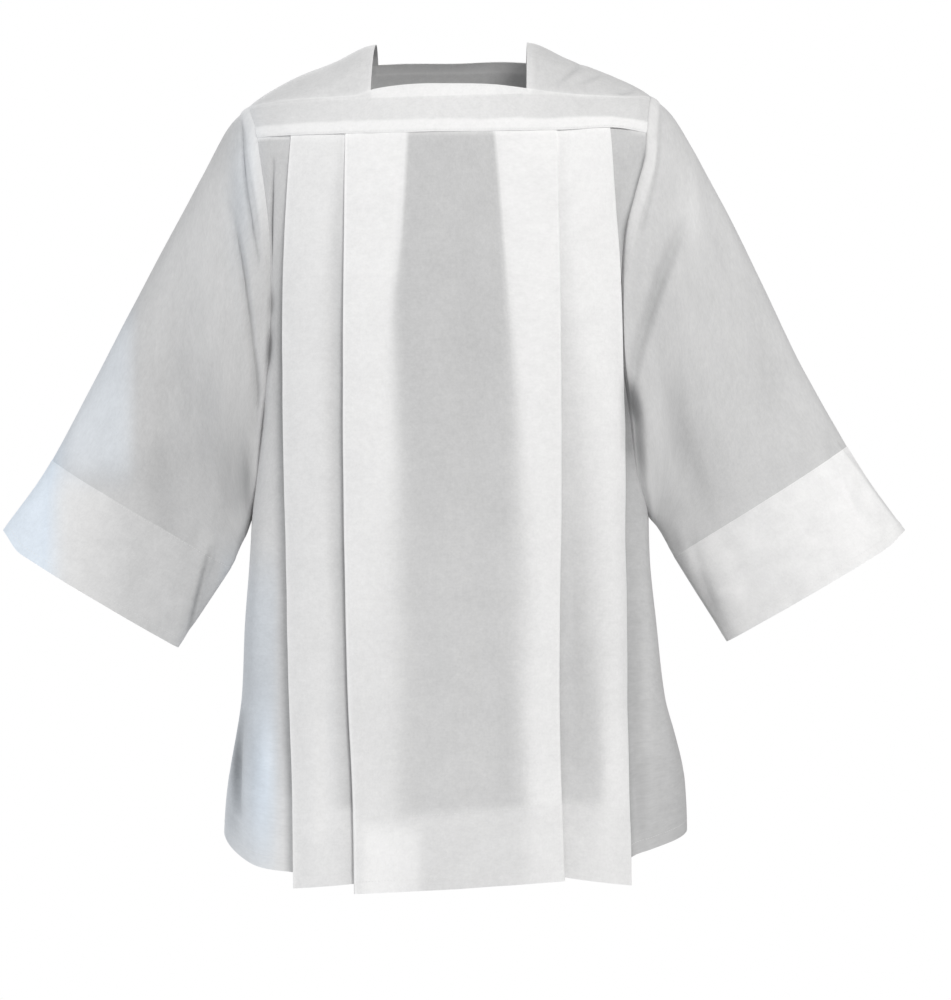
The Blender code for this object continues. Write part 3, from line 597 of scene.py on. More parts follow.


def panel_half(side, face, heights):
    """One side of a panel: points, whiteness with its painted light and shade, stretches and the fall of the
    hem.
    """
    out, depth, stretch = half_path(side, face, heights)
    outer, inner, turn_back = pleat_places(side, face, heights)
    level = heights[:, None] + 0 * out
    turn = turn_at(out, level, side)
    base = shell_point(turn, level, side, face)
    reach = np.where(heights > UNDERARM, read(ARMHOLE, SIDE_NAME[side], heights), half_width(heights, side))
    from_edge = reach[:, None] - out
    calm = ease(from_edge / 0.014) * ease((PANEL_TOP - level + 0.002) / 0.05)
    crease = fold_rise(base, PANEL_CREASES[face]) * (stretch <= 1) * ease(from_edge / 0.002)
    wander = drift(base[..., 0] * 1.6 + 3, base[..., 2], 0.060, 11 + face) * 0.0009
    wander += drift(base[..., 0] * 2 + 5, base[..., 2] * 0.8, 0.024, 21 + face) * 0.00025
    rise = (fold_rise(base, PANEL_FOLDS[face]) + wander) * calm + crease
    behind = BEHIND_YOKE * (1 - ease((-0.100 - level) / 0.075))
    points = base + shell_outward(turn, level, side, face) * (rise - depth - behind)[..., None]
    dip = seam_dip(level, from_edge, side, face) * (level > UNDERARM)
    points[..., 1] -= face * dip
    fall = hem_fall(side, face, out, stretch, reach[:, None], outer, inner)
    part = np.clip((HEM_START - level) / (HEM_START - HEM_ROW), 0.0, 1.0)
    points[..., 2] = np.where(part > 0, blend(HEM_START, fall, part), points[..., 2])

    tone = {name: read(TONES[face, side], name, heights)[:, None] for name in TONES[face, side]}
    wobble = drift(level, level * 0 + side, 0.09, 31) * 0.0010
    front_layer = blend(tone["middle"], tone["cover"], soft_step(out - turn_back + wobble, tone["edge"]))
    beyond = soft_step(out - inner - tone["between"] + wobble, tone["spread"])
    # Painted shade under the inner pleat's fold, and beside the outer pleat's fold.
    under_fold = bell(out - inner, 0.0085, 1.4) * ease((-0.12 - level) / 0.25)
    under_fold = under_fold * (1 - 0.42 * ease((-0.55 - level) / 0.15))
    pleat = blend(tone["near"], tone["far"], beyond) - FOLD_SHADE * UNDER_SHADE[side] * under_fold
    shade = FOLD_SHADE * ease((-0.16 - level) / 0.20)
    if side == RIGHT:
        shade = shade * (0.2 + 0.8 * ease((-0.40 - level) / 0.15))
    beside = tone["side"] - shade * bell(out - outer, FOLD_REACH[side])
    # Painted light in the narrow gap beside the right front armhole.
    if (side, face) == (RIGHT, FRONT):
        beside = beside + GAP_LIGHT * bell(level + 0.315, 0.050, 4)
    # Painted shade along the top of the right front armhole seam.
    beside = beside - 0.85 * seam_shade(level, from_edge, 0.0026, side, face)
    white = np.where(stretch <= 1, beside, np.where(stretch <= 3, pleat, front_layer))
    # Painted shade in the creases and in the dips beside the armhole seam.
    white = white + CREASE_SHADE * crease - DIP_SHADE[side] * dip * (stretch == 0)
    band = soft_step(fall + HEM_BAND - points[..., 2], 0.0035)
    white += (HEM_WHITE - white) * band * np.where(stretch == 0, SIDE_HEM[side], FRONT_HEM)
    # Patches of painted light and shade, and of light coming through.
    white = white + patch_tone(points, PANEL_PATCHES[face])
    # Painted light: the cloth just below the band's foot, and beside the inner fold near the top, is made
    # whiter against the shade there.
    foot = read(YOKE_FRONT, "bottom", side * out) if face == FRONT else YOKE_BACK_BOTTOM
    beside_pleats = stretch <= 1
    below_band = level - foot - 0.0012 * beside_pleats
    lit = np.where(beside_pleats, 0.90, 0.35) * bell(below_band, np.where(beside_pleats, 0.0020, 0.0032))
    lit = lit + 0.40 * bell(out - inner, 0.0022) * ease((level + 0.150) / 0.03) * (stretch == 2)
    white = np.maximum(white, np.minimum(white + lit, BRIGHTEST))
    # Painted highlight along the pressed folds' edges.
    fold_line = np.where(stretch >= 4, inner - out, np.where(stretch == 2, outer - out, 1.0))
    return points, white + FOLD_HIGHLIGHT[side] * bell(fold_line, 0.0014), stretch, fall


def turn_in(grid, inward):
    """Add the seam allowance that turns in before a grid's first row."""
    return np.concatenate([[grid[0] + inward * ALLOWANCE * share for share in (1, 0.5, 0.12)], grid])


def repeat_first(values):
    """Carry values on to the rows that turn_in added."""
    return np.concatenate([values[:1]] * 3 + [values])


SEWING = {}               # lines of stitches: points and the ways out of the cloth


def sew(name, points, outward):
    SEWING.setdefault(name, []).append((points, outward))


def cross_line(grid, outward, measure, at):
    """A line across a grid where a measure, which grows down its columns, is at a
    value."""
    columns = np.arange(grid.shape[1])
    at = np.broadcast_to(at, columns.shape)
    place = np.array([np.interp(at[column], measure[:, column], np.arange(len(grid))) for column in columns])
    row = np.minimum(place.astype(int), len(grid) - 2)
    part = (place - row)[:, None]
    points, ways = (blend(values[row, columns], values[row + 1, columns], part)
                    for values in (grid, outward))
    return points, unit(ways)


HEM_LINES = (HEM_BAND - 0.0018, 0.0125)   # rows of stitches above the hem's fold


def sew_hem(face, side, points, stretch, fall):
    normals = grid_normals(points)
    normals = normals * np.sign(np.sum(normals * [0.3 * side, face, 0.0], axis=-1, keepdims=True))
    for shown, hidden, lines in (((0,), 0, HEM_LINES[1:]), ((2,), 4, HEM_LINES), ((4, 5), 4, HEM_LINES)):
        columns = np.flatnonzero(np.isin(stretch[0], shown))[hidden:]
        for line in lines:
            level, at = -points[:, columns, 2], -(fall[-1, columns] + line)
            sew("panel", *cross_line(points[:, columns], normals[:, columns], level, at))


SIDE_SEAM = 0.012
PANEL_ROWS = (78, 74)     # above and below the underarm
PANEL_CUT = 0.815 + SIDE_SEAM + HEM_BAND   # its length from the yoke's lap to the hem


def make_panel(face):
    upper, lower = PANEL_ROWS
    heights = np.concatenate([np.linspace(PANEL_TOP, UNDERARM, upper),
                              np.linspace(UNDERARM, HEM_ROW, lower)[1:]])
    halves, whites = [], []
    for side in (LEFT, RIGHT):
        points, white, stretch, fall = panel_half(side, face, heights)
        sew_hem(face, side, points, stretch, fall)
        points[:, 0] += unit(points[:, 1] - points[:, 0]) * SEAM_CLEARANCE
        points = points.swapaxes(0, 1)
        points = turn_in(points, unit(points[0] * [0.2, 0.2, 1.0] - points[0]))
        halves.append(points[::-side])
        whites.append(repeat_first(white.T)[::-side])
    grid = np.concatenate(halves).swapaxes(0, 1)
    white = np.concatenate(whites).T
    across = running(grid[len(heights) // 2])
    weave = woven(across, heights[:, None])
    doubled = np.where(heights < HEM_ROW + HEM_BAND, 2 * CLOTH, CLOTH)[:, None]
    if face == BACK:
        grid, white, weave = grid[:, ::-1], white[:, ::-1], weave[:, ::-1]
    made = cloth_object(FACE_NAME[face] + "_cloth", grid, doubled, weave, white)
    return made, (across[-1] + 2 * SIDE_SEAM, PANEL_CUT)


class Socket:
    """A shader value that takes part in plain arithmetic."""

    def __init__(self, nodes, socket):
        self.nodes, self.socket = nodes, socket

    def maths(self, operation, *others):
        return self.nodes.add("ShaderNodeMath", "Value", [self, *others], operation=operation)

    def __add__(self, other):
        return self.maths("ADD", other)

    def __sub__(self, other):
        return self.maths("SUBTRACT", other)

    def __rsub__(self, other):
        return self.nodes.add("ShaderNodeMath", "Value", [other, self], operation="SUBTRACT")

    def __mul__(self, other):
        return self.maths("MULTIPLY", other)

    __radd__, __rmul__ = __add__, __mul__


class Nodes:
    """The nodes of a material or a world, and the one way of adding to them."""

    def __init__(self, owner):
        owner.use_nodes = True
        self.owner, self.tree = owner, owner.node_tree

    def fill(self, node, inputs):
        named = inputs if isinstance(inputs, dict) else dict(enumerate(inputs))
        for name, value in named.items():
            if isinstance(value, Socket):
                self.tree.links.new(value.socket, node.inputs[name])
            else:
                node.inputs[name].default_value = value

    def add(self, kind, output, inputs, **settings):
        node = self.tree.nodes.new(kind)
        for name, value in settings.items():
            setattr(node, name, value)
        self.fill(node, inputs)
        return Socket(self, node.outputs[output])

    def noise(self, place, scale, detail=2.0):
        return self.add("ShaderNodeTexNoise", "Fac", {"Vector": place, "Scale": scale, "Detail": detail})


def finish(name, surface):
    """A material whose surface is filled in from a function of its nodes."""
    nodes = Nodes(bpy.data.materials.new(name))
    nodes.fill(nodes.tree.nodes["Principled BSDF"], surface(nodes))
    return nodes.owner


THREADS = 0.00042         # from one thread to the next
GREY_CLOTH = (0.558, 0.560, 0.564, 1.0)
WHITE_CLOTH = (0.920, 0.920, 0.922, 1.0)
# the tint of the painted sky light
SKY_TINT = (0.900, 0.985, 1.080, 1.0)


def broadcloth(nodes):
    """Plain-woven white cotton: matt, a little uneven, whiter where it is doubled, with painted light and
    shade carried in its whiteness and a painted cool tint of sky light.
    """
    weave = nodes.add("ShaderNodeAttribute", "Vector", {}, attribute_name="weave")
    white, cool = (nodes.add("ShaderNodeAttribute", "Fac", {}, attribute_name=name)
                   for name in ("white", "cool"))
    across, down = (nodes.add("ShaderNodeSeparateXYZ", axis, [weave]) for axis in ("X", "Y"))

    def slubs(scale_across, scale_down):
        stretched = nodes.add("ShaderNodeCombineXYZ", "Vector", [across * scale_across, down * scale_down])
        return nodes.noise(stretched, 1.0)

    cloud, nap, speck = nodes.noise(weave, 34.0, 3.0), nodes.noise(weave, 150.0), nodes.noise(weave, 380.0)
    warp, weft = slubs(1400.0, 45.0), slubs(40.0, 1300.0)
    level = white
    for part, share in ((cloud, 0.24), (nap, 0.28), (speck, 0.28), (warp, 0.08), (weft, 0.08)):
        level = level + (part - 0.5) * share
    colour = nodes.add("ShaderNodeMix", 2, {0: level, 6: GREY_CLOTH, 7: WHITE_CLOTH},
                       data_type="RGBA", clamp_factor=False)
    # Painted cool light: the colour is tinted towards the sky's blue where the cool attribute is set.
    colour = nodes.add("ShaderNodeMix", 2, {0: cool, 6: colour, 7: SKY_TINT},
                       data_type="RGBA", blend_type="MULTIPLY")
    over, under = ((way * (math.pi / THREADS)).maths("SINE") for way in (across, down))
    height = over * under * 0.5 + (warp + weft) * 0.6 + cloud * 0.8
    bump = nodes.add("ShaderNodeBump", "Normal", {"Height": height, "Strength": 0.35, "Distance": 0.00012})
    return {"Base Color": colour, "Normal": bump, "Roughness": 0.86, "Specular IOR Level": 0.25,
            "Sheen Weight": 0.12, "Sheen Roughness": 0.45}


def dress(piece, cloth, node, slot, **cut):
    """Give a piece its cloth and hide the solid that it stands for; its cut is not used."""
    piece.data.materials.append(cloth)
    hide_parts(node)
    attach(piece, "root")


PANEL_FINISH = finish("panel_broadcloth", broadcloth)
for face in (FRONT, BACK):
    panel, cut = make_panel(face)
    dress(panel, PANEL_FINISH, FACE_NAME[face] + "_panel", "panel_cloth",
          flat=cut, held="hung", rests_on=["yoke_" + FACE_NAME[face]])

# ------------------------------------------------------------------- the yokes
# A band across the chest and one across the shoulder blades, cut square at the
# neck. Each is doubled along its foot, where it covers the tops of the pleats,
# and faced at the neck; both are stitched along their seams.
FACING = table("across line", """
    -230 -72.5
    -83 -70.5
    0 -68.5
    83 -66
    230 -62
    """)
BACK_NECK_ANGLE = math.radians(26)
NECK = 0.0825             # the neck edges, left and right of the middle
STRIP = 0.0135            # depth of the doubled foot
STRIP_RAISED = 0.0009
YOKE_LAYERS = 1.6         # pressed flat, two layers are this much thicker than one
YOKE_GRID = {FRONT: (46, 220), BACK: (80, 200)}
YOKE_WHITE = 0.60
FOOT_WHITE = 1.04


def ridge_height(across):
    """The top line of the shoulders, from one side's form to the other's."""
    left, right = (read(RIDGE, SIDE_NAME[side], np.abs(across)) for side in (LEFT, RIGHT))
    return blend(left, right, ease((across + NECK) / (2 * NECK)))


def strap_point(across, angle, face):
    """Points of the cloth over the shoulders: angle 0 is the ridge."""
    across, angle = np.broadcast_arrays(across, angle)
    top = ridge_height(across)
    chest = float(BODY["squareness"][0])
    width = np.where(across < 0, BODY["left"][0], BODY["right"][0])
    depth = BODY[FACE_NAME[face]][0] * (1 - (np.abs(across) / width) ** chest) ** (1 / chest)
    height = top - (top - CHEST_HEIGHT) * (1 - np.cos(angle))
    return np.stack([across, face * depth * np.sin(angle), height], axis=-1)


def strap_angle(across, height):
    """The angle at which the shoulder cloth reaches a height."""
    top = ridge_height(across)
    return np.arccos(np.clip((height - CHEST_HEIGHT) / (top - CHEST_HEIGHT), -1.0, 1.0))


def seam_angle(across, face):
    """Where the shoulder piece meets the yoke."""
    if face == BACK:
        return BACK_NECK_ANGLE + 0 * across
    return strap_angle(across, read(YOKE_FRONT, "top", across))


def foot_angle(across, face):
    """Where the yoke ends, over the pleats."""
    if face == BACK:
        return strap_angle(across, YOKE_BACK_BOTTOM)
    return strap_angle(across, read(YOKE_FRONT, "bottom", across))


def armhole_across(side, face, angle):
    """How far out the armhole runs at an angle over the shoulder."""
    guess = strap_point(side * ARMHOLE[SIDE_NAME[side]][0], angle, face)
    return side * read(ARMHOLE, SIDE_NAME[side], guess[..., 2])


def armhole_angles(side, face):
    """The angles of the shoulder seam and of the yoke's foot at the armhole."""
    top, foot = (np.array(side * read(ARMHOLE, SIDE_NAME[side], height)) for height in (-0.050, -0.105))
    return float(seam_angle(top, face)), float(foot_angle(foot, face))


def yoke_grid(face, rows, columns):
    """Points from armhole to armhole, from the upper edge to the foot."""
    part = np.linspace(0, 1, rows)[:, None]
    angles = {side: blend(*armhole_angles(side, face), part) for side in (LEFT, RIGHT)}
    ends = {side: armhole_across(side, face, angles[side]) for side in (LEFT, RIGHT)}
    across = blend(ends[LEFT], ends[RIGHT], np.linspace(0, 1, columns))
    angle = blend(seam_angle(across, face), foot_angle(across, face), part)
    for side, column in ((LEFT, 0), (RIGHT, -1)):
        angle = angle + (angles[side] - angle[:, [column]]) * ease(1 - np.abs(across - ends[side]) / 0.03)
    return strap_point(across, angle, face), across, part


YOKE_FOLDS = {
    FRONT: folds("""
    203 -66 203.5 -78 206 -90 2.2 3
    162 -78 178 -83 190 -92 -1.4 5
    -190 -86 -150 -80 -100 -82 1 7
    30 -80 60 -85 90 -84 -0.8 6
    -60 -90 -30 -85 5 -86 0.8 7
    -90 -74 -105 -80 -125 -82 -0.9 5
    """),
    BACK: folds("""
    130 -60 155 -68 180 -80 -1.6 7
    -170 -70 -140 -60 -110 -55 -1.2 8
    -40 -50 10 -55 60 -56 1 11
    """),
}


def make_yoke(face):
    rows, columns = YOKE_GRID[face]
    grid, across, part = yoke_grid(face, rows, columns)
    normals = grid_normals(grid)
    outward = normals * np.sign(np.sum(normals * [0.0, face, 0.4], axis=-1, keepdims=True))
    down = np.concatenate([np.zeros((1, columns)), np.cumsum(steps(grid), axis=0)])
    from_foot = down[-1] - down
    beside_neck = np.abs(across) > NECK
    from_armhole = np.minimum(np.abs(across - across[:, :1]), np.abs(across - across[:, -1:]))
    calm = ease(part * 8) * ease(from_armhole / 0.02)
    rise = fold_rise(grid, YOKE_FOLDS[face]) + drift(grid[..., 0], grid[..., 2], 0.030, 41 + face) * 0.0005
    wavy = drift(grid[..., 0], grid[..., 0] * 0, 0.014, 43 + face)
    strip = soft_step(STRIP + wavy * 0.0007 - from_foot, 0.0014)
    if face == FRONT:
        line = read(FACING, "line", grid[..., 0])
        facing, seam_line = soft_step(grid[..., 2] - line, 0.0012), bell(grid[..., 2] - line, 0.0012)
    else:
        facing, seam_line = soft_step(0.016 - down, 0.0012), 0.0
    facing = facing * soft_step(NECK + 0.003 - np.abs(across), 0.0015)
    raised = STRIP_RAISED * 0.5 * strip * (1 + 0.35 * wavy) + 0.0003 * (seam_line + facing)
    rise = rise * calm + raised - 0.0008 * (1 - ease(from_foot / 0.0035))
    grid = grid + outward * rise[..., None]
    for at in (down[-1] - 0.0018, down[-1] - (STRIP - 0.0022), 0.0024):
        sew("yoke", *cross_line(grid, outward, down, at))
    if face == FRONT:
        neck = ~beside_neck[0]
        sew("yoke", *cross_line(grid[:, neck], outward[:, neck], (line - grid[..., 2])[:, neck], 0.0008))
    thickness = blend(CLOTH * YOKE_LAYERS, CLOTH * (YOKE_LAYERS - 1) + STRIP_RAISED, strip)
    thickness = thickness * (0.35 + 0.65 * ease(from_foot / 0.0025))
    white = YOKE_WHITE - 0.10 * soft_step(across, 0.08) + 0.16 * bell(across, 0.10)
    white = white + 0.30 * facing + 0.10 * seam_line + 0.24 * bell(down, 0.0034) * beside_neck
    white = blend(white, FOOT_WHITE, strip)
    weave = woven(across, -down)
    if np.sum(normals * outward) < 0:
        grid, thickness, white, weave = (values[:, ::-1] for values in (grid, thickness, white, weave))
    made = cloth_object("yoke_" + FACE_NAME[face] + "_cloth", grid, thickness, weave, white)
    return made, (float(np.ptp(across)), float(down[-1].mean()) + 0.02)


YOKE_FINISH = finish("yoke_broadcloth", broadcloth)
for face in (FRONT, BACK):
    yoke, cut = make_yoke(face)
    dress(yoke, YOKE_FINISH, "yoke_" + FACE_NAME[face], "yoke_cloth",
          flat=cut, held="draped", rests_on=["shoulder_left", "shoulder_right"])

# ------------------------------------------------------- pieces over the shoulders
# One on each side of the neck, from the front yoke over the ridge to the back
# yoke. Their neck edges are turned under; they crease a little as they bend.
SHOULDER_FOLDS = {
    LEFT: folds("""
    -100 -30 -125 -52 -150 -62 1.4 8
    -89 -12 -90 -34 -90 -56 -1.2 3.5
    -150 -44 -175 -56 -200 -66 -1.2 6
    """),
    RIGHT: folds("""
    140 -25 129 -36 112 -54 -3 3.6 300
    150 -30 139 -39 125 -49 1.4 4
    163 -36 152 -42 137 -51 -2.2 3 200
    108 -24 120 -28 133 -28 1 6
    200 -50 190 -56 177 -61 -2.4 3
    90 -15 91 -34 90.5 -54 -1 3.5
    """),
}
SHOULDER_WHITE = 0.52
SHOULDER_SHADE = 55.0     # painted shade: whiteness lost for each metre of a fold's depth
SHOULDER_GRID = (74, 56)
SHOULDER_ROW = 0.0022     # the weave's length from row to row
SHOULDER_CUT = 0.137      # width of the cut from the neck to the armhole
NECK_SLANT = {LEFT: 0.0036, RIGHT: -0.0020}   # how far the neck's edge runs outward in front


def make_shoulder(side):
    rows, columns = SHOULDER_GRID
    place = np.linspace(-1, 1, rows)[:, None]
    halves = []
    for face, chosen in ((FRONT, place < 0), (BACK, place >= 0)):
        swing = np.abs(place[chosen])[:, None]
        upper = armhole_angles(side, face)[0] * swing
        arm = armhole_across(side, face, upper)
        edge = side * (NECK + NECK_SLANT[side] * swing * (face == FRONT))
        across = blend(edge, arm, np.linspace(0, 1, columns))
        angle = seam_angle(across, face) * swing
        angle = angle + (upper - angle[:, [-1]]) * ease(1 - np.abs(across - arm) / 0.03)
        halves.append(strap_point(across, angle, face))
    grid = np.concatenate(halves)
    normals = grid_normals(grid)
    if normals[rows // 2, columns // 2, 2] < 0:
        grid, normals = grid[:, ::-1], -normals[:, ::-1]
    neck_side = np.abs(grid[..., 0]) - NECK
    from_sides = [np.linalg.norm(grid - grid[:, [column]], axis=-1) for column in (0, -1)]
    calm = ease(np.minimum(place + 1, 1 - place) * 7) * ease(np.minimum(*from_sides) / 0.008)
    rise = fold_rise(grid, SHOULDER_FOLDS[side])
    rise = rise + drift(grid[..., 0], grid[..., 1], 0.03, 51 + side) * 0.0005
    grid = grid + normals * (rise * calm)[..., None]
    from_yoke = np.cumsum(steps(np.concatenate([grid[:1], grid])), axis=0)
    white = SHOULDER_WHITE + 0.26 * bell(neck_side, 0.008) - 0.16 * (side == RIGHT)
    white = white + 0.16 * bell(from_yoke, 0.003)
    # Painted shade in the folds' hollows.
    white = white + SHOULDER_SHADE * np.minimum(fold_rise(grid, SHOULDER_FOLDS[side]), 0.0)
    weave = woven(grid[..., 0], SHOULDER_ROW * (np.arange(rows)[:, None] + 1))
    first, second = (0, 1) if np.abs(grid[0, 0, 0]) < np.abs(grid[0, -1, 0]) else (-1, -2)
    sew("yoke", blend(grid[:, second], grid[:, first], 0.12), unit(normals[:, first] + normals[:, second]))
    made = cloth_object("shoulder_" + SIDE_NAME[side] + "_cloth", grid, CLOTH * YOKE_LAYERS, weave, white)
    return made, (SHOULDER_CUT, float(steps(grid).sum(axis=0).mean()))


for side in (LEFT, RIGHT):
    shoulder, cut = make_shoulder(side)
    dress(shoulder, YOKE_FINISH, "shoulder_" + SIDE_NAME[side], "yoke_cloth",
          flat=cut, held="draped", rests_on=["yoke_front", "yoke_back"])

# ----------------------------------------------------------------- the sleeves
# Wide tubes seamed along the underside, set into the whole depth of the armhole
# with the seam allowances pressed towards the sleeve, which makes a narrow roll
# beside the seam. They hang from the arm in a few long slanting folds.
CUFF_DIP = {LEFT: 0.0095, RIGHT: 0.0045}
CUFF_START = 0.82         # shares of the sleeve's length
SEAM_REACH = 0.26         # as far as this it keeps the armhole's form
EVEN_FROM = 0.40          # and from here its points lie evenly round it
SLEEVE_SHAPE = "along top_out top_height low_out low_height front back lean"
SLEEVES = {
    LEFT: table(SLEEVE_SHAPE, """
    0 222 -68 219 -517 74 74 0
    120 246.3 -92.5 222.5 -528 73 71 80
    250 278.2 -153 226 -537.5 70 67 180
    400 314.5 -218.9 229 -543 65 63 280
    550 351.9 -290.4 232.5 -550 60 58 360
    700 395.9 -375.1 236.8 -560 56 54 420
    820 439 -455.5 243 -573.1 53 51 460
    1000 492.7 -532.4 301.3 -661.1 51 49 500
    """),
    RIGHT: table(SLEEVE_SHAPE, """
    0 219 -56 215.8 -517 76 74 0
    120 242.2 -77 219.5 -521.5 75 71 80
    250 271.5 -127.6 223.8 -526.2 71 67 180
    400 306.8 -192.5 227.5 -531 66 63 280
    550 341.2 -262.9 231.2 -537 61 58 360
    700 386.2 -356.4 236.7 -547 57 54 420
    820 433.8 -440 244.4 -561 54 51 460
    1000 497.4 -532.4 302.7 -654.5 52 49 500
    """),
}
EDGE_POINTS = dict(strap=16, yoke=8, panel=66)


def armhole_edge(side, face):
    """The armhole seam from the ridge to the underarm."""
    upper, foot = armhole_angles(side, face)
    angle = np.concatenate([np.linspace(0, upper, EDGE_POINTS["strap"], endpoint=False),
                            np.linspace(upper, foot, EDGE_POINTS["yoke"], endpoint=False), [foot]])
    over = strap_point(armhole_across(side, face, angle), angle, face)
    height = np.linspace(over[-1, 2], UNDERARM, EDGE_POINTS["panel"])
    turn = turn_at(read(ARMHOLE, SIDE_NAME[side], height), height, side)
    turn[-1] = 1.0
    return np.concatenate([over[:-1], shell_point(turn, height, side, face)])


EDGES = {(side, face): armhole_edge(side, face) for side in (LEFT, RIGHT) for face in (FRONT, BACK)}


def sleeve_end(side, which, along):
    """The top or the lowest point of a sleeve's ring."""
    out, height = (read(SLEEVES[side], which + part, along) for part in ("_out", "_height"))
    return np.array([side * out, 0.0, height])


def sleeve_half(side, face, along):
    """Half of a sleeve's ring, from its upper edge to its underside."""
    top, low, top_start, low_start = (sleeve_end(side, which, at)
                                      for at in (along, 0.0) for which in ("top", "low"))
    edge = EDGES[side, face]
    edge_share = (edge[0, 2] - edge[:, 2]) / (edge[0, 2] - edge[-1, 2])
    even_share = (1 - np.cos(np.linspace(0, math.pi, len(edge)))) / 2
    share = blend(edge_share, even_share, ease(along / EVEN_FROM))
    lean, depth = (read(SLEEVES[side], column, along) for column in ("lean", FACE_NAME[face]))
    ring = top + share[:, None] * (low - top)
    ring[:, 1] = face * depth * (4 * share * (1 - share)).clip(0) ** 0.45 * (1 - lean * share ** 1.5)
    down_sleeve = unit(np.array([side * (top[2] - low[2]), 0.0, -abs(top[0] - low[0])]))
    dip = CUFF_DIP[side] * ease((along - CUFF_START) / (1 - CUFF_START)) * ease(share / 0.15) * (1 - share)
    ring += dip[:, None] * down_sleeve
    seam = edge + blend(top - top_start, low - low_start, share[:, None])
    return blend(ring, seam, 1 - ease(along / SEAM_REACH))


def sleeve_grid(side, stations):
    halves = ([sleeve_half(side, face, along) for face in (FRONT, BACK)] for along in stations)
    return np.array([np.concatenate([front, back[-2:0:-1]]) for front, back in halves])


def outward_normals(grid):
    """Normals that point away from a tube's middle."""
    normals = grid_normals(grid, True)
    return normals * np.sign(np.sum(normals * (grid - grid.mean(axis=1, keepdims=True))))


SLEEVE_FOLDS = {
    (LEFT, FRONT): folds("""
    -240 -185 -223 -264 -209.5 -395 -5.6 4.4 -300
    -230 -200 -216.5 -264 -205.5 -370 3 3.6
    -211.5 -340 -209 -385 -211 -430 -3 5
    -232 -130 -219 -210 -208 -290 3 7
    -214 -120 -205 -190 -200.5 -270 2.6 6
    -265 -160 -260 -280 -255 -420 3.4 21
    -290 -280 -300 -380 -315 -480 -3.6 19
    -335 -300 -348 -390 -358 -470 3.6 20
    -245 -360 -250 -430 -260 -520 3.4 16
    -305 -470 -312 -530 -315 -610 -3.4 17
    -345 -500 -350 -570 -352 -630 2.6 15
    -256 -500 -263 -545 -267 -570 3.2 9 300
    -264 -545 -279 -600 -295.7 -660 6 8 500
    -275 -530 -290 -585 -308 -640 -2.4 8
    -395 -440 -402 -520 -410 -590 3 17
    -440 -470 -445 -520 -450 -560 -2.4 15
    """),
    (RIGHT, FRONT): folds("""
    249 -208 219 -284 186 -395 -7.8 7.2 200
    216 -180 211 -240 202 -300 3.4 8
    258 -130 264 -190 260 -260 3.4 12
    272 -150 282 -200 302 -260 -2.4 9
    210 -390 219 -430 230 -490 5 13
    243 -360 248 -430 276 -510 -5 14
    270 -330 290 -420 312 -500 3 18
    325 -280 340 -360 360 -440 -2.8 20
    370 -420 368 -500 360 -590 2.6 22
    412 -430 428 -480 456 -540 -3.4 7
    422 -455 440 -490 452 -515 1.8 4
    260 -550 278 -600 301 -655 -3.6 9 200
    248 -530 258 -560 270 -595 3 8
    300 -540 318 -580 335 -625 -1.6 12
    """),
    (LEFT, BACK): folds("""
    -245 -180 -224 -270 -209 -400 -6 8 -300
    -220 -140 -212 -200 -206 -270 2.8 8
    -280 -230 -282 -330 -290 -430 -3.4 20
    -330 -320 -342 -400 -350 -480 3.6 20
    -250 -360 -256 -440 -268 -520 3.4 18
    -264 -550 -278 -600 -296 -655 4 9 300
    -330 -500 -340 -560 -348 -620 -2.8 17
    -410 -450 -418 -510 -428 -570 2.6 17
    """),
    (RIGHT, BACK): folds("""
    246 -200 224 -280 201 -385 -7.2 9.2 300
    220 -150 212 -220 204 -290 3 8.5
    270 -210 274 -310 285 -400 -3.4 20
    325 -300 338 -390 350 -470 3.6 20
    245 -380 250 -450 270 -520 3.4 16
    260 -545 278 -600 299 -650 -3.4 9
    330 -490 342 -550 348 -620 -2.6 19
    412 -440 426 -490 448 -540 -2.6 9
    """),
}
SLEEVE_ROWS, CUFF_ROWS = 112, 34
# How white the sleeves and cuffs look, and soft patches where more or less of the
# light comes through them, with painted shade beside the body and in the armhole's pocket.
SLEEVE_WHITE = {LEFT: 0.24, RIGHT: 0.32}
STRIP_WHITE = {LEFT: 0.46, RIGHT: 0.36}
SLEEVE_PATCHES = {
    LEFT: patches("""
    -380 -385 35.5 85 300 9000
    -428 -430 22 40 300 2500
    -325 -360 17 60 -100
    -400 -420 50 80 80
    -324 -465 20 36 -160 2500
    -300 -390 9 30 140
    -236 -475 14 50 -240 2500
    -275 -200 30 90 120
    -232 -522 11 16 200
    -222 -420 12 70 -80
    -270 -430 30 75 -200 3000
    -222.5 -480 6.5 38 -500
    """),
    RIGHT: patches("""
    262 -189 18 34 220
    243 -440 13 50 -140
    216 -450 9 40 100
    310 -520 50 45 140
    192.5 -408 5 40 -200 8000
    226 -300 16 70 -120
    """),
}
# Painted light and shade across each cuff: lighter towards its outer end, darker towards the body where it
# turns under.
CUFF_LIGHT_AND_SHADE = {
    LEFT: table("x white", """
    -500 920
    -450 920
    -434 900
    -419 820
    -400 740
    -378 620
    -358 460
    -310 370
    -270 240
    -230 200
    """),
    RIGHT: table("x white", """
    230 400
    248 620
    266 940
    300 1040
    360 1020
    430 1100
    470 1060
    500 900
    """),
}
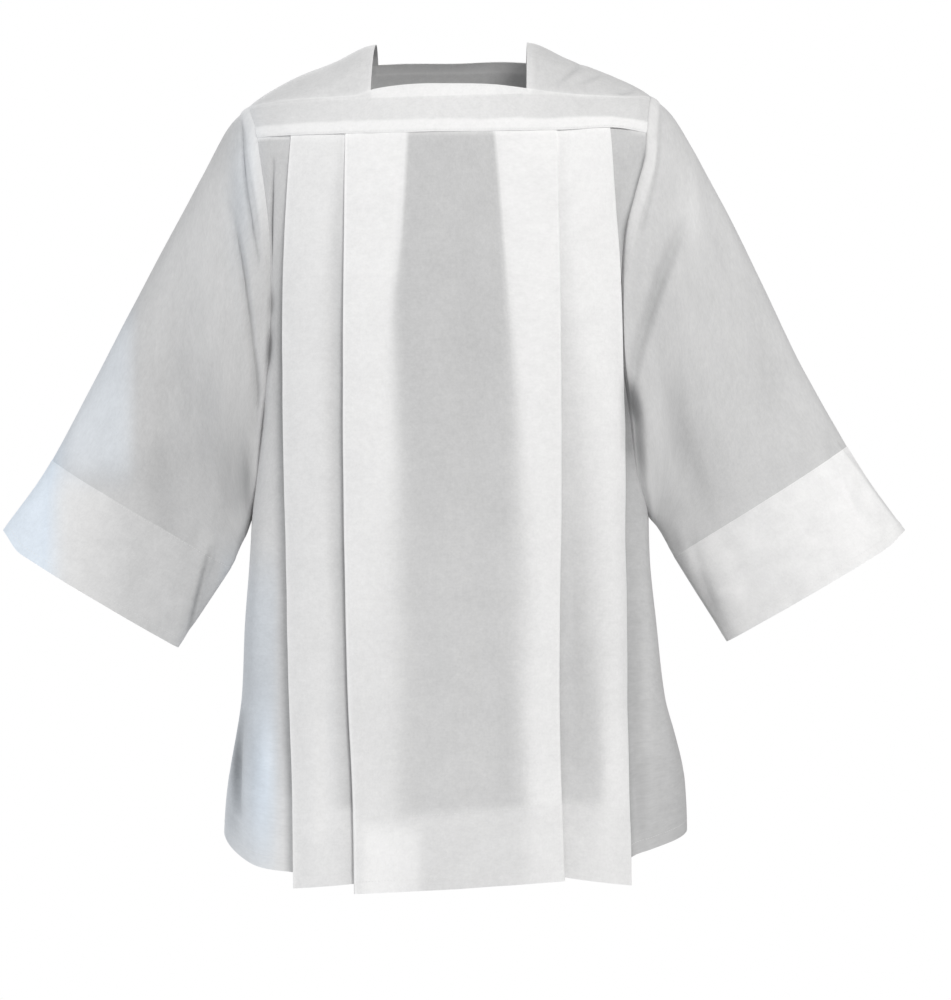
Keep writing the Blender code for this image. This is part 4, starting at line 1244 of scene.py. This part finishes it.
# Soft lines of painted shade along which a cuff is darker: the rise is in whiteness.
CUFF_SHADES = {
    LEFT: folds("""
    -265 -560 -275 -600 -292 -650 -120 12
    """),
    RIGHT: folds("""
    244 -561 273.5 -608 302.7 -654.5 -750 17.5
    450 -440 478 -480 500 -520 -220 12
    """),
}
SLEEVE_CREASES = {
    (LEFT, FRONT): folds("""
    -228.5 -88 -221 -160 -206 -246 -3 1.6
    -264 -550 -279 -604 -294 -660 -3.4 2.2
    """),
    (RIGHT, FRONT): folds("""
    227 -80 222.5 -135 203 -215 -1.4 1.8
    424 -437 457 -479 488 -522 -3 2
    433 -432 466 -473 496 -515 -1.2 6
    267 -575 280 -606 293 -640 -1.2 5
    """),
    (LEFT, BACK): folds("""
    -227 -92 -222.5 -150 -209 -220 -2 1.6
    """),
    (RIGHT, BACK): folds("""
    226 -84 221.5 -140 203 -220 -1.6 1.6
    """),
}
GROOVE_SHADE = 40.0       # painted shade: whiteness lost for each metre of a fold's depth
ROLL_HEIGHT = 0.0017      # of the roll beside the seam
WELT = table("height width", """
    -60 13.5
    -140 14
    -200 12
    -260 9.5
    -400 8
    """)
CUFF_MOTTLE = {LEFT: 0.05, RIGHT: 0.10}
CUFF_LAYERS = 2.4


def dressed_sleeve(side):
    """A whole sleeve with its folds, its place in the weave and its whiteness, with painted shade in its
    folds and seams.
    """
    stations = np.concatenate([np.linspace(0, 1, SLEEVE_ROWS) ** 1.15 * CUFF_START,
                               np.linspace(CUFF_START, 1.0, CUFF_ROWS)[1:]])
    grid = sleeve_grid(side, stations)
    normals = outward_normals(grid)
    x, y, z = np.moveaxis(grid, -1, 0)
    from_seam = np.cumsum(steps(np.concatenate([grid[:1], grid])), axis=0)
    calm = ease(from_seam / 0.014) * ease(np.abs(y) / 0.022)
    in_front = soft_step(-y, 0.004)
    folded, crease, dip = ([rise[FRONT] * in_front, rise[BACK] * (1 - in_front)] for rise in (
        {face: fold_rise(grid, SLEEVE_FOLDS[side, face]) for face in (FRONT, BACK)},
        {face: fold_rise(grid, SLEEVE_CREASES[side, face]) for face in (FRONT, BACK)},
        {face: seam_dip(z, from_seam, side, face) for face in (FRONT, BACK)}))
    crease = sum(crease)
    rise = sum(folded) + drift(x + y, z, 0.055, 61 + side) * 0.0010
    rise = rise + drift(x, z + y, 0.022, 71 + side) * 0.0003
    welt = read(WELT, "width", z)
    roll = np.sin(np.clip((from_seam - 0.0004) / welt, 0.0, 1.0) * math.pi) ** 0.7
    roll = roll * soft_step(z + 0.25, 0.045)
    strip = soft_step(welt - from_seam, 0.0010) * soft_step(z + 0.205, 0.035)
    # Painted shade in patches by the body and in the armhole's pocket, with the patches of light coming
    # through.
    white = SLEEVE_WHITE[side] + patch_tone(grid, SLEEVE_PATCHES[side]) + STRIP_WHITE[side] * strip
    # Painted shade in the creases and in the dips beside the armhole seam.
    white = white + CREASE_SHADE * crease - DIP_SHADE[side] * sum(dip)
    # Painted shade in the hollows of the sleeve's front folds.
    white = white + GROOVE_SHADE * np.minimum(folded[0], 0.0)
    if side == RIGHT:
        # Painted shadow of the seam on the roll at the top of the right armhole.
        white = white - 0.55 * bell(from_seam, 0.0014) * soft_step(z + 0.128, 0.010)
        # Painted shade along the top of the front armhole seam.
        white = white - 0.40 * seam_shade(z, from_seam, 0.0010, side, FRONT) * in_front
    grid = grid + normals * (rise * calm + crease + ROLL_HEIGHT * roll)[..., None]
    grid[..., 1] += dip[0] - dip[1]
    weave = woven(running(grid[len(stations) // 2]), -from_seam.mean(axis=1)[:, None])
    return grid, weave, white


def closed_tube(name, grid, thickness, weave, white):
    """A tube whose faces point away from its middle."""
    if np.sum(grid_normals(grid, True) * (grid - grid.mean(axis=1, keepdims=True))) < 0:
        grid, weave, white = (values[:, ::-1] for values in (grid, weave, white))
    return cloth_object(name, grid, thickness, weave, white, ring=True)


def make_sleeve(side):
    grid, weave, white = dressed_sleeve(side)
    sleeve, cuff = grid[:SLEEVE_ROWS].copy(), grid[SLEEVE_ROWS - 1:]
    seam = grid[0]
    sleeve[0] += unit(sleeve[1] - seam) * SEAM_CLEARANCE
    sleeve = turn_in(sleeve, unit(seam * [0.85, 0.3, 1.0] - seam))
    creases = [fold_rise(cuff, SLEEVE_CREASES[side, face]) for face in (FRONT, BACK)]
    # The cuff's painted light and shade and its lines of painted shade, with an uneven mottle.
    cuff_tone_and_shade = read(CUFF_LIGHT_AND_SHADE[side], "white", cuff[..., 0]) + fold_rise(cuff, CUFF_SHADES[side])
    cuff_tone_and_shade += drift(cuff[..., 0], cuff[..., 2], 0.013, 81 + side) * CUFF_MOTTLE[side]
    # Painted shade in the cuff's creases.
    cuff_tone_and_shade += CREASE_SHADE * np.where(cuff[..., 1] < 0, *creases)
    normals = outward_normals(cuff)
    for part, row in ((0.55, 0), (0.0, -4)):
        points = blend(cuff[row], cuff[row + 1], part)
        sew("cuff", *(np.concatenate([values, values[:1]]) for values in (points, normals[row])))
    around, lengths = steps(grid, axis=1).sum(axis=1), steps(grid)

    def cut(chosen):
        width, length = around[chosen], lengths[chosen].sum(axis=0)
        return dict(flat=(float(width.max()), float(length.max())), held="hung",
                    area=float(width.mean() * length.mean()))

    name = SIDE_NAME[side] + "_cloth"
    weave_in, white_in = (repeat_first(values[:SLEEVE_ROWS]) for values in (weave, white))
    yield closed_tube("sleeve_" + name, sleeve, CLOTH, weave_in, white_in), cut(slice(0, SLEEVE_ROWS))
    cuff = closed_tube("cuff_" + name, cuff, CUFF_LAYERS * CLOTH, weave[SLEEVE_ROWS - 1:], cuff_tone_and_shade)
    yield cuff, cut(slice(SLEEVE_ROWS - 1, None))


SLEEVE_FINISH = finish("sleeve_broadcloth", broadcloth)
CUFF_FINISH = finish("hem_broadcloth", broadcloth)
for side in (LEFT, RIGHT):
    kinds = (("sleeve_", SLEEVE_FINISH, "sleeve_cloth", ["front_panel", "back_panel"]),
             ("cuff_", CUFF_FINISH, "hem_cloth", ["sleeve_" + SIDE_NAME[side]]))
    for (piece, cut), (kind, cloth, slot, held_by) in zip(make_sleeve(side), kinds):
        dress(piece, cloth, kind + SIDE_NAME[side], slot, rests_on=held_by, **cut)

# ------------------------------------------------------------------ the sewing
# Lockstitch in white thread, about eight stitches to the inch: along the strips
# and edges of the yokes, round the neck, and above the hems and cuffs.
STITCH_PITCH = 0.0032
STITCH_LENGTH = 0.0024
THREAD = 0.00018          # half the width of the thread
THREAD_GREY = (0.80, 0.80, 0.80, 1.0)
STITCH_LIFT = {"panel": CLOTH, "yoke": 0.0004, "cuff": 1.2 * CLOTH}


def stitch_mesh(name, lines, lift):
    """Every stitch is a short thread, four-sided, whose ends go into the cloth."""
    centres, ways, tops = [], [], []
    for points, outward in lines:
        run = running(points)
        count = int(run[-1] / STITCH_PITCH)
        at = (np.arange(count) + 0.5) * run[-1] / count

        def along(values, where):
            return np.stack([np.interp(where, run, values[:, axis]) for axis in range(3)], axis=1)

        centres.append(along(points, at))
        ways.append(unit(along(points, at + STITCH_LENGTH / 2) - along(points, at - STITCH_LENGTH / 2)))
        tops.append(unit(along(outward, at)))
    centre, way, top = (np.concatenate(values) for values in (centres, ways, tops))
    aside = unit(np.cross(way, top))
    centre = centre + top * lift
    corners = [centre - way * STITCH_LENGTH / 2 - top * THREAD * 1.5]
    for step in (-0.25, 0.25):
        middle = centre + way * STITCH_LENGTH * step + top * THREAD * 0.5
        corners += [middle + way_out * THREAD for way_out in (top, aside, -top, -aside)]
    corners.append(centre + way * STITCH_LENGTH / 2 - top * THREAD * 1.5)
    faces = []
    for corner in range(4):
        after = (corner + 1) % 4
        faces += [(0, 1 + corner, 1 + after), (1 + corner, 5 + corner, 5 + after, 1 + after),
                  (9, 5 + after, 5 + corner)]
    every = [[index + 10 * stitch for index in face] for stitch in range(len(centre)) for face in faces]
    return add_object(name, np.stack(corners, axis=1).reshape(-1, 3), every)


def thread(nodes):
    """White cotton thread, a little uneven, with the twist of its strands."""
    place = nodes.add("ShaderNodeTexCoord", "Object", {})
    colour = nodes.add("ShaderNodeMix", 2, {0: nodes.noise(place, 400.0), 6: THREAD_GREY, 7: WHITE_CLOTH},
                       data_type="RGBA")
    twist = nodes.add("ShaderNodeTexWave", "Fac", {"Vector": place, "Scale": 900.0, "Distortion": 1.0})
    bump = nodes.add("ShaderNodeBump", "Normal", {"Height": twist, "Strength": 0.4, "Distance": 0.00005})
    return {"Base Color": colour, "Normal": bump, "Roughness": 0.7, "Specular IOR Level": 0.3}


THREAD_FINISH = finish("thread", thread)
for name, slot in (("panel", "panel_cloth"), ("yoke", "yoke_cloth"), ("cuff", "hem_cloth")):
    stitches = stitch_mesh(name + "_stitches", SEWING[name], STITCH_LIFT[name])
    stitches.data.materials.append(THREAD_FINISH)
    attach(stitches, "root")

# ------------------------------------------------------------ light and camera
# Even soft light from all round, a broad lamp above and in front, a cooler one
# from the left and a small one from the right; a round pale floor far below.
FLOOR = -1.45
SKY_STRENGTH = 0.385
scene = bpy.context.scene
scene.view_settings.view_transform = "Standard"

WHITE = (1.0, 1.0, 1.0, 1.0)
scene.world = bpy.data.worlds.new("studio")
sky = Nodes(scene.world)
plain = sky.tree.nodes["Background"]
sky.fill(plain, {"Color": WHITE, "Strength": SKY_STRENGTH})
seen_by_camera = sky.add("ShaderNodeLightPath", "Is Camera Ray", {})
backdrop = sky.add("ShaderNodeBackground", 0, {"Color": WHITE})
mixed = sky.add("ShaderNodeMixShader", 0, [seen_by_camera, Socket(sky, plain.outputs[0]), backdrop])
sky.fill(sky.tree.nodes["World Output"], {"Surface": mixed})

LAMPS = table("x y z size power red green blue", """
    1300 -3100 1350 1200 74000 1000 990 975
    -2600 -900 0 1200 19500 965 980 1000
    2400 -1000 200 1400 4000 1000 1000 1000
    -600 2600 1200 1600 50000 1000 1000 1000
    """)
AIM = np.array([0.0, 0.0, -0.45])
for x, y, z, size, power, *colour in zip(*LAMPS.values()):
    light = bpy.data.lights.new("softbox", "AREA")
    light.size, light.energy, light.color = size, power, colour
    lamp = bpy.data.objects.new("softbox", light)
    lamp.location = (x, y, z)
    lamp.rotation_euler = Vector(AIM - (x, y, z)).to_track_quat("-Z", "Y").to_euler()
    scene.collection.objects.link(lamp)

bpy.ops.mesh.primitive_circle_add(vertices=96, radius=1.1, fill_type="NGON", location=(0, 0, FLOOR))
floor = bpy.context.object
floor.name = "floor"
pale = {"Base Color": (0.82, 0.82, 0.82, 1.0), "Roughness": 0.8}
floor.data.materials.append(finish("pale_floor", lambda nodes: pale))

CAMERA_PLACE = (0.026, -3.2, -0.4994)
SENSOR = 36.0
FRAME_WIDTH = 1.1         # metres that the longer side of the frame takes in at the garment
camera_data = bpy.data.cameras.new("camera")
camera_data.sensor_width = SENSOR
camera_data.lens = SENSOR * -CAMERA_PLACE[1] / FRAME_WIDTH
camera = bpy.data.objects.new("camera", camera_data)
camera.location = CAMERA_PLACE
camera.rotation_euler = (math.radians(90), 0.0, 0.0)
scene.collection.objects.link(camera)
scene.camera = camera
